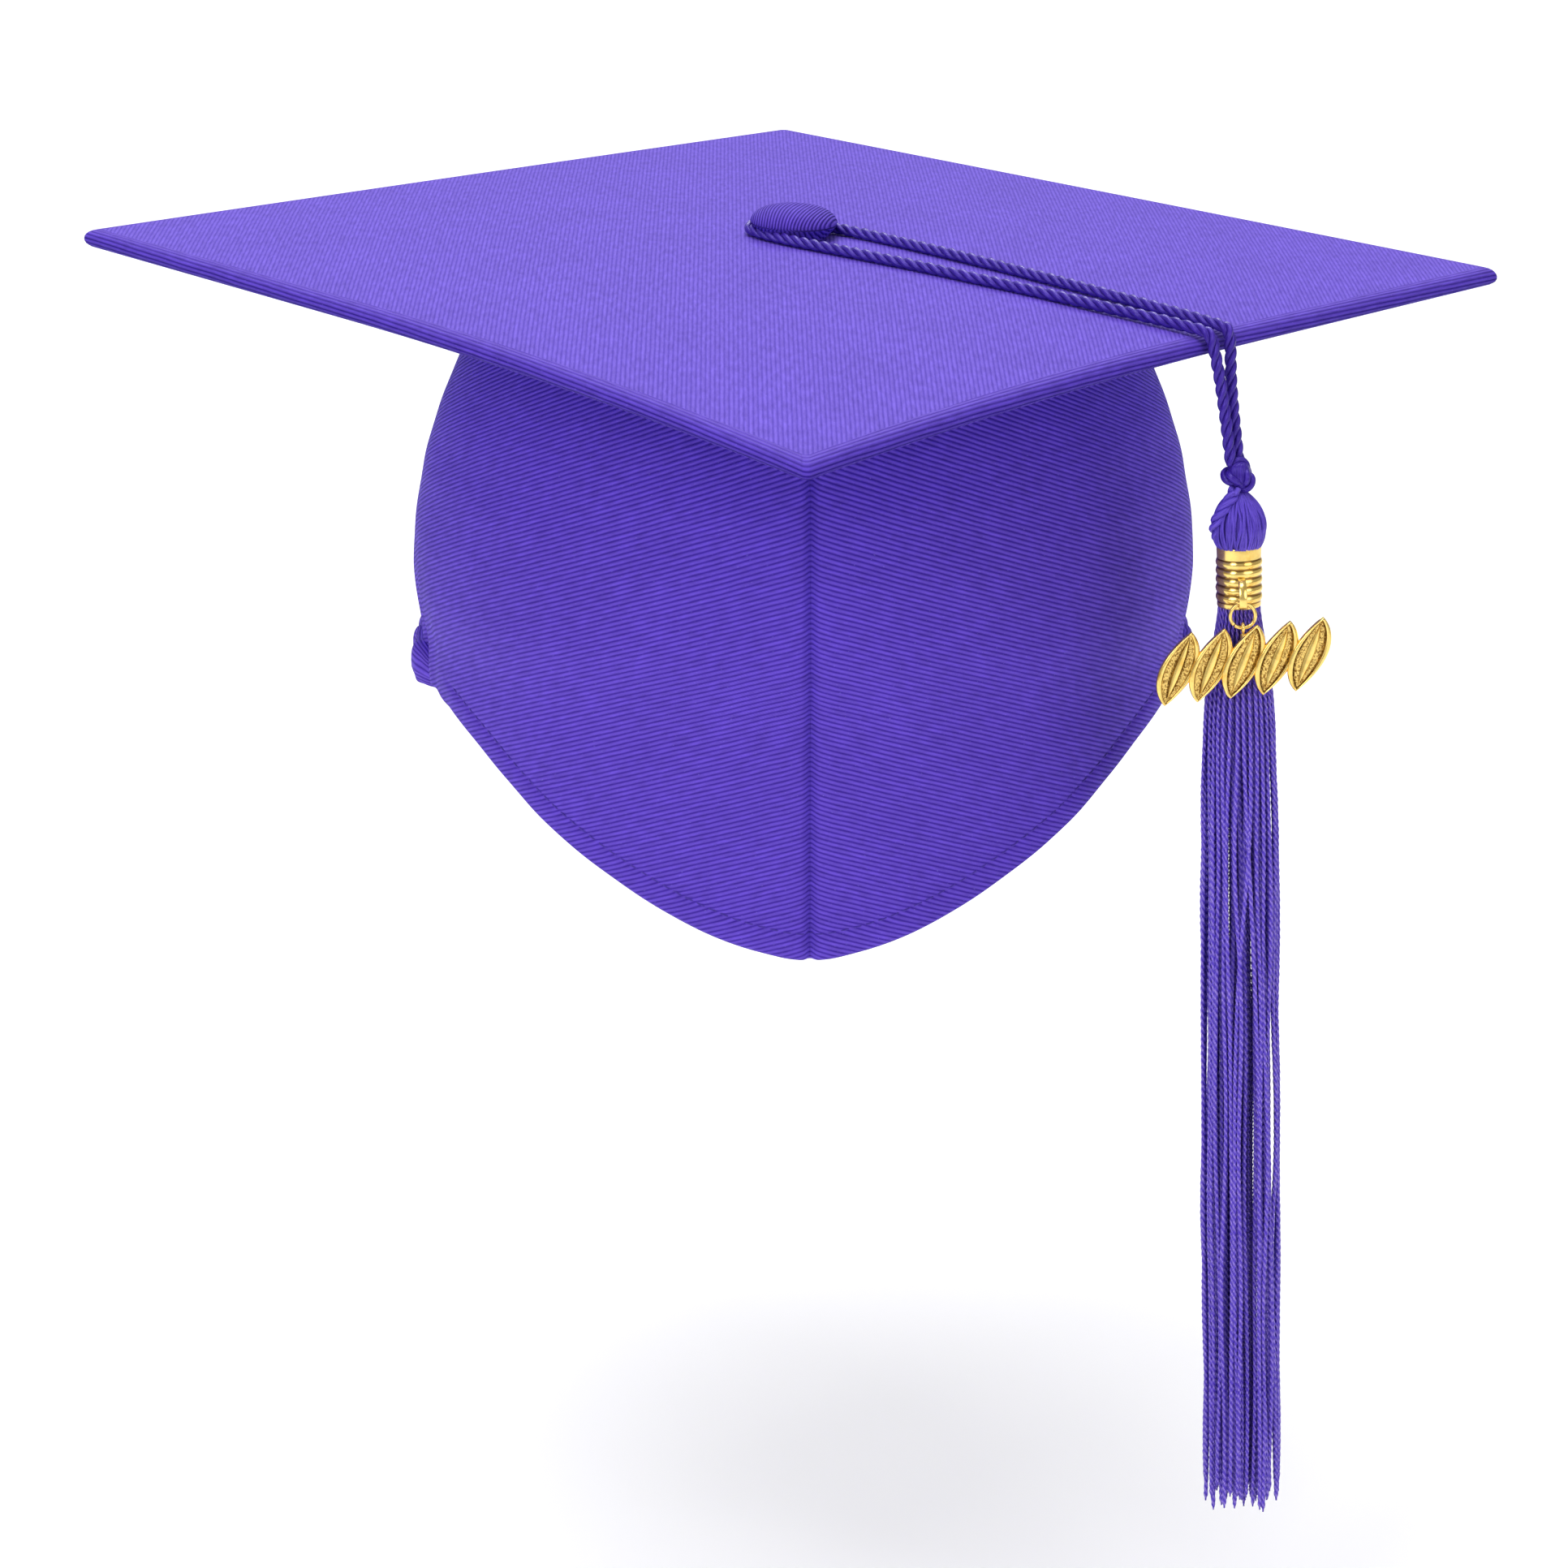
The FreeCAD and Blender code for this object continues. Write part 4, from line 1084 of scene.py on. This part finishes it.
def head_radius(z):
    table = np.array(HEAD_PROFILE)[::-1] * MM
    return np.interp(z, table[:, 1], table[:, 0])


def add_head():
    """Loose yarn over the ferrule, with one twisted end laid down its side."""
    profile = through(np.array(HEAD_PROFILE) * MM, 40)
    inside = profile * np.array([0.93, 1.0])
    parts = [turned(inside, 48)]
    rng = np.random.default_rng(71)
    share = np.linspace(0, 1, len(profile))
    belly = np.sin(pi * share)
    for layer, count, radius in ((0.0, 58, 0.34), (0.22, 40, 0.28)):
        for number in range(count):
            angle = (number + rng.uniform(-0.3, 0.3)) / count * 2 * pi
            drift = rng.uniform(-0.22, 0.22)
            theta = angle + drift * belly + 0.03 * np.sin(9 * share + number)
            lift = (layer + 0.16 * np.sin(share * rng.uniform(4, 9) + number)) * MM * belly
            line = round_axis(profile[:, 0] + lift, theta, profile[:, 1])
            parts.append(round_tube(line, radius * MM * (0.75 + 0.35 * belly), 6))
    share = np.linspace(0, 1, 80)
    z = (-2.2 - 11.5 * share) * MM
    r = head_radius(z) + 0.9 * MM * (1 - 1.9 * share**3)
    line = round_axis(r, radians(-118) - 0.95 * share, z)
    parts += plies(line, 3, offset=0.80 * MM, radius=0.72 * MM, pitch=8 * MM)
    return make_piece("tassel_yarn_head", on_tassel(parts), head_yarn, "tassel", ["tassel_head"])


def ferrule_tube():
    """A rolled tube with a plain collar and round ribs. V counts the ribs."""
    ribs = 5
    top, bottom = FERRULE_TOP, FERRULE_BOTTOM
    ribs_top, ribs_bottom = top - 2.7 * MM, bottom + 1.1 * MM
    z = np.linspace(ribs_top, ribs_bottom, ribs * 14 + 1)
    phase = (ribs_top - z) / (ribs_top - ribs_bottom) * ribs * 2 * pi
    ribbed = joined(FERRULE_RADIUS + MM * (0.30 * ((1 - np.cos(phase)) / 2) ** 0.7 - 0.02), z)
    bore = 4.50
    lip = np.array([(bore, 0.0), (4.62, 0.12), (4.85, 0.14), (4.98, 0.02), (5.0, -0.25), (5.0, -1.2),
                    (4.98, -2.4)]) * MM
    lip[:, 1] += top
    foot = np.array([(5.0, 0.8), (5.02, 0.3), (4.96, 0.02), (4.75, -0.06), (4.55, 0.1)]) * MM
    foot[:, 1] += bottom
    inside = joined(bore * MM, [bottom + 1.0 * MM, 0.5 * (top + bottom), top])

    def dented(angle, radius, height):
        return 0.05 * MM * wander(angle * 5 * MM, height, 6 * MM, 81) * (radius > 4.7 * MM)

    rib_count = np.concatenate([np.full(len(lip), -0.5), phase / (2 * pi),
                                np.full(len(foot) + len(inside), ribs + 0.5)])
    return turned(np.vstack([lip, ribbed, foot, inside]), 96, dented, rib_count)


def hook_strip():
    """A strip that leaves the ferrule's side, runs down in front of it and curls under and back."""
    count, bend_radius = 60, 1.02 * MM
    curl = np.radians(np.linspace(20, 290, 30))
    bend = joined(-HOOK_OUT - bend_radius * np.cos(curl), HOOK_HEIGHT - bend_radius * np.sin(curl))
    run = np.array([(-4.9, 5.2), (-5.6, 4.8), (-6.8, 3.9), (-7.6, 2.7), (-7.98, 1.4), (-8.0, 0.3)]) * MM
    run[:, 1] += HOOK_HEIGHT
    path = evenly(np.vstack([through(run, 24), bend]), count)
    line = joined(0, path[:, 0], path[:, 1])
    across = np.array([1.0, 0, 0])
    thick = np.cross(unit(np.gradient(line, axis=0)), across)
    width, wall, soft = 0.88 * MM, 0.24 * MM, 0.12 * MM
    ring = np.array([(-width, -wall + soft), (-width + soft, -wall), (width - soft, -wall),
                     (width, -wall + soft), (width, wall - soft), (width - soft, wall),
                     (-width + soft, wall), (-width, wall - soft)])
    taper = np.ones(count)
    taper[-10:] = np.linspace(1, 0.7, 10)
    sideways = across * ring[None, :, :1] * taper[:, None, None]
    points = line[:, None] + sideways + thick[:, None] * ring[None, :, 1:]
    return capped(grid(points, np.zeros((count, len(ring) + 1, 2)), closed_columns=True), len(ring))


def add_ferrule():
    return make_piece("gold_ferrule", on_tassel([ferrule_tube(), hook_strip()]), [gold_ribs, gold], "tassel",
                      ["ferrule"], material_of=[0, 1])


def add_ring():
    """A ring of round wire, with its cut a hair open."""
    turn = np.radians(np.linspace(-130, 226, 97))
    centre = np.array([0, -HOOK_OUT, HOOK_HEIGHT - RING_RADIUS])
    line = centre + RING_RADIUS * joined(np.cos(turn), 0.02 * np.sin(turn / 2), np.sin(turn))
    parts = on_tassel([round_tube(line, RING_WIRE_RADIUS, 16)])
    return make_piece("gold_ring", parts, gold, "jump_ring", ["jump_ring"])


LEAF_COUNT = 5
LEAF_PITCH = 7.4 * MM
LEAF_HEIGHT = 16.2 * MM
LEAF_WIDTH = 8.6 * MM
LEAF_SLANT = 7.6 * MM
VEIN_SHARE = 0.76
CHARM_THICKNESS = 1.4 * MM
CHARM_BACK = 0.9 * MM
# The charm's right end is this many degrees higher than its left.
CHARM_RISE = 4.5
CHARM_TOP_LAP = 0.7 * MM
# A leaf's section: the share of the way in from its outline to its vein, and the millimetres behind its front.
LEAF_EDGE = [(0.0, 1.4), (-0.02, 0.8), (0.0, 0.3), (0.06, 0.07), (0.14, 0.0), (0.22, 0.04), (0.27, 0.20)]
LEAF_WALL = [(0.27, 0.20), (0.30, 0.42), (0.34, 0.50)]
LEAF_GROUND = [(0.34, 0.50), (0.48, 0.46), (0.62, 0.44), (0.74, 0.46)]
VEIN_WALL = [(0.74, 0.46), (0.79, 0.36)]
VEIN = [(0.79, 0.36), (0.85, 0.16), (0.93, 0.06), (1.0, 0.04)]
LEAF_BACK = [(1.0, 1.4), (0.0, 1.4)]
# The charm's materials: bright plate, stippled ground and painted shade on the walls of its hollows.
PLATE, GROUND, RECESS_SHADE = 0, 1, 2
LEAF_SECTIONS = [(LEAF_EDGE, PLATE), (LEAF_WALL, RECESS_SHADE), (LEAF_GROUND, GROUND), (VEIN_WALL, RECESS_SHADE),
                 (VEIN, PLATE), (LEAF_BACK, PLATE)]


def leaf_outline(middle, width, height):
    """A slanted pointed oval as a closed loop of x, z points."""
    slant = LEAF_SLANT * height / LEAF_HEIGHT
    base = np.array([middle - slant / 2, -height / 2])
    tip = np.array([middle + slant / 2, height / 2])
    share = np.linspace(0, 1, 28)[:-1, None]
    bulge = (4 * share * (1 - share)) ** 0.9
    return np.vstack([base + (tip - base) * share + np.array([width / 2, 0]) * bulge,
                      tip + (base - tip) * share + np.array([-width / 2, 0]) * bulge])


def leaf_strip(middle, section):
    """One strip of a leaf's surface. The leaf leans back to its right, so that the next one overlaps it."""
    outer = leaf_outline(middle, LEAF_WIDTH, LEAF_HEIGHT)
    vein = leaf_outline(middle, 0, LEAF_HEIGHT * VEIN_SHARE)
    rings = []
    for share, back in section:
        flat = outer + (vein - outer) * share
        lean = 0.3 * MM * (flat[:, 0] - middle) / (LEAF_WIDTH / 2)
        rings.append(joined(flat[:, 0], back * MM - CHARM_THICKNESS + lean, flat[:, 1]))
    return grid(np.array(rings), np.zeros((len(rings), len(outer) + 1, 2)), closed_columns=True)


def add_charm():
    """Overlapping leaves with bright raised edges and veins, on a stippled ground."""
    strips, kinds = [], []
    for number in range(LEAF_COUNT):
        middle = (number - (LEAF_COUNT - 1) / 2) * LEAF_PITCH
        strips += [leaf_strip(middle, section) for section, _ in LEAF_SECTIONS]
        kinds += [kind for _, kind in LEAF_SECTIONS]
    tilt = Matrix.Rotation(radians(-CHARM_RISE), 4, "Y")
    drop = BAIL_HEIGHT - LEAF_HEIGHT / 2 + CHARM_TOP_LAP
    band = tassel_frame() @ Matrix.Translation((0, -HOOK_OUT - CHARM_BACK, drop)) @ tilt
    parts = [moved(strip, band) for strip in strips]

    # The bail is an eye round the ring, on a neck that runs down behind the band.
    eye_radius = 0.95 * MM
    turn = np.radians(np.linspace(-80, 250, 40))
    eye = joined(0, -HOOK_OUT + eye_radius * np.cos(turn), BAIL_HEIGHT + eye_radius * np.sin(turn))
    neck = through([(0, -7.4, -1.4), (0, -7.75, -1.9), (0, -8.3, -2.6), (0, -8.5, -3.4)], 20) * MM
    neck[:, 2] += BAIL_HEIGHT
    parts += on_tassel([round_tube(eye, 0.36 * MM, 12), round_tube(neck, 0.65 * MM, 12)])
    return make_piece("leaf_charm", parts, [gold, gold_ground, gold_crease], "charm",
                      ["charm"], material_of=kinds + [PLATE, PLATE], weld=True)


STRAND_RADIUS = 0.57 * MM
STRAND_PITCH = 3.6 * MM
RING_STEP = 1.00625 * MM
# The fringe's width, as a multiple of its width in the ferrule, at millimetres below the ferrule.
FRINGE_SPREAD = [(-20, 0.95), (2, 1.06), (12, 1.58), (24, 1.92), (48, 2.06), (85, 2.12), (230, 2.17)]


def strand_line(ring, number, count, rng, step):
    """One strand's line: gathered in the ferrule, then hanging with small waves of its own."""
    length = FRINGE_LENGTH - 5 * MM * (0.5 + 0.5 * sin(2.4 * number + ring)) + rng.uniform(-1.5, 1.5) * MM
    top, bottom = FERRULE_TOP - 0.5 * MM, FERRULE_BOTTOM - length
    z = np.linspace(top, bottom, int((top - bottom) / step))
    fall = (FERRULE_BOTTOM - z) / MM
    spread = np.interp(fall, *np.transpose(FRINGE_SPREAD))
    reach = 20
    kernel = np.hanning(2 * reach + 1)
    spread = np.convolve(np.pad(spread, reach, mode="edge"), kernel / kernel.sum(), mode="valid")
    loose = smooth_step(fall, 6, 70)
    angle = 2 * pi * (number + 0.5 * (ring % 2)) / count
    angle = angle + loose * (0.10 * wander(fall, fall * 0, 90, rng.integers(9999)) + rng.normal(0, 0.05))
    if rng.random() < 0.16:
        stray = rng.choice([-1, 1]) * rng.uniform(0.25, 0.5)
        angle = angle + stray * smooth_step(fall, 20, rng.uniform(120, 220))
    radius = ring * RING_STEP * spread * (1 + loose * 0.05 * wander(fall, fall * 0, 60, rng.integers(9999)))
    return round_axis(radius, angle, z)


def twisted_strand(line, phase):
    """Two plies twisted into one strand, as a tube with a turning two-lobed section."""
    angle = ring_angles(8)
    along = distance_along(line)
    theta = angle[None, :] + (phase + 2 * pi * along / STRAND_PITCH)[:, None]
    squeezed = 0.70 + 0.30 * smooth_step(along, 14 * MM, 60 * MM)
    radius = STRAND_RADIUS * (0.76 + 0.24 * np.cos(angle) ** 2)[None, :] * squeezed[:, None]
    taper = np.maximum(smooth_step(along[-1] - along, -0.2 * MM, 1.5 * MM), 0.35)
    section = joined(radius * np.cos(theta), radius * np.sin(theta)) * taper[:, None, None]
    return swept(line, section, STRAND_GIRTH)


def add_fringe():
    made = []
    rng = np.random.default_rng(91)
    for name, rings, step in (("inner", (0, 1, 2), 0.9 * MM), ("middle", (3,), 0.6 * MM),
                              ("outer", (4,), 0.64 * MM)):
        parts = []
        for ring in rings:
            count = max(1, 8 * ring)
            for number in range(count):
                line = strand_line(ring, number, count, rng, step)
                parts.append(twisted_strand(line, rng.uniform(0, 2 * pi)))
        made.append(make_piece("fringe_" + name, on_tassel(parts), fringe_yarn, "tassel",
                               ["fringe_" + name + "_strands"]))
    return made


# ---- The button's metal, which keeps its CAD shape ----

def finish_cad_parts():
    for name in ("button_shell", "button_back_plate", "button_shank", "button_washer"):
        for material_slot in frame["nodes"][name].material_slots:
            material_slot.material = steel


bpy.context.scene.view_settings.view_transform = "Standard"
add_camera()
add_studio()
rope, rope_line, rope_length = add_rope()
add_board()
add_button()
add_skull()
add_seam_allowances()
add_crown_flange()
add_casing()
add_elastic()
add_stitches()
on_cord = [add_knot(), add_head(), add_ferrule(), add_ring(), add_charm()] + add_fringe()
finish_cad_parts()
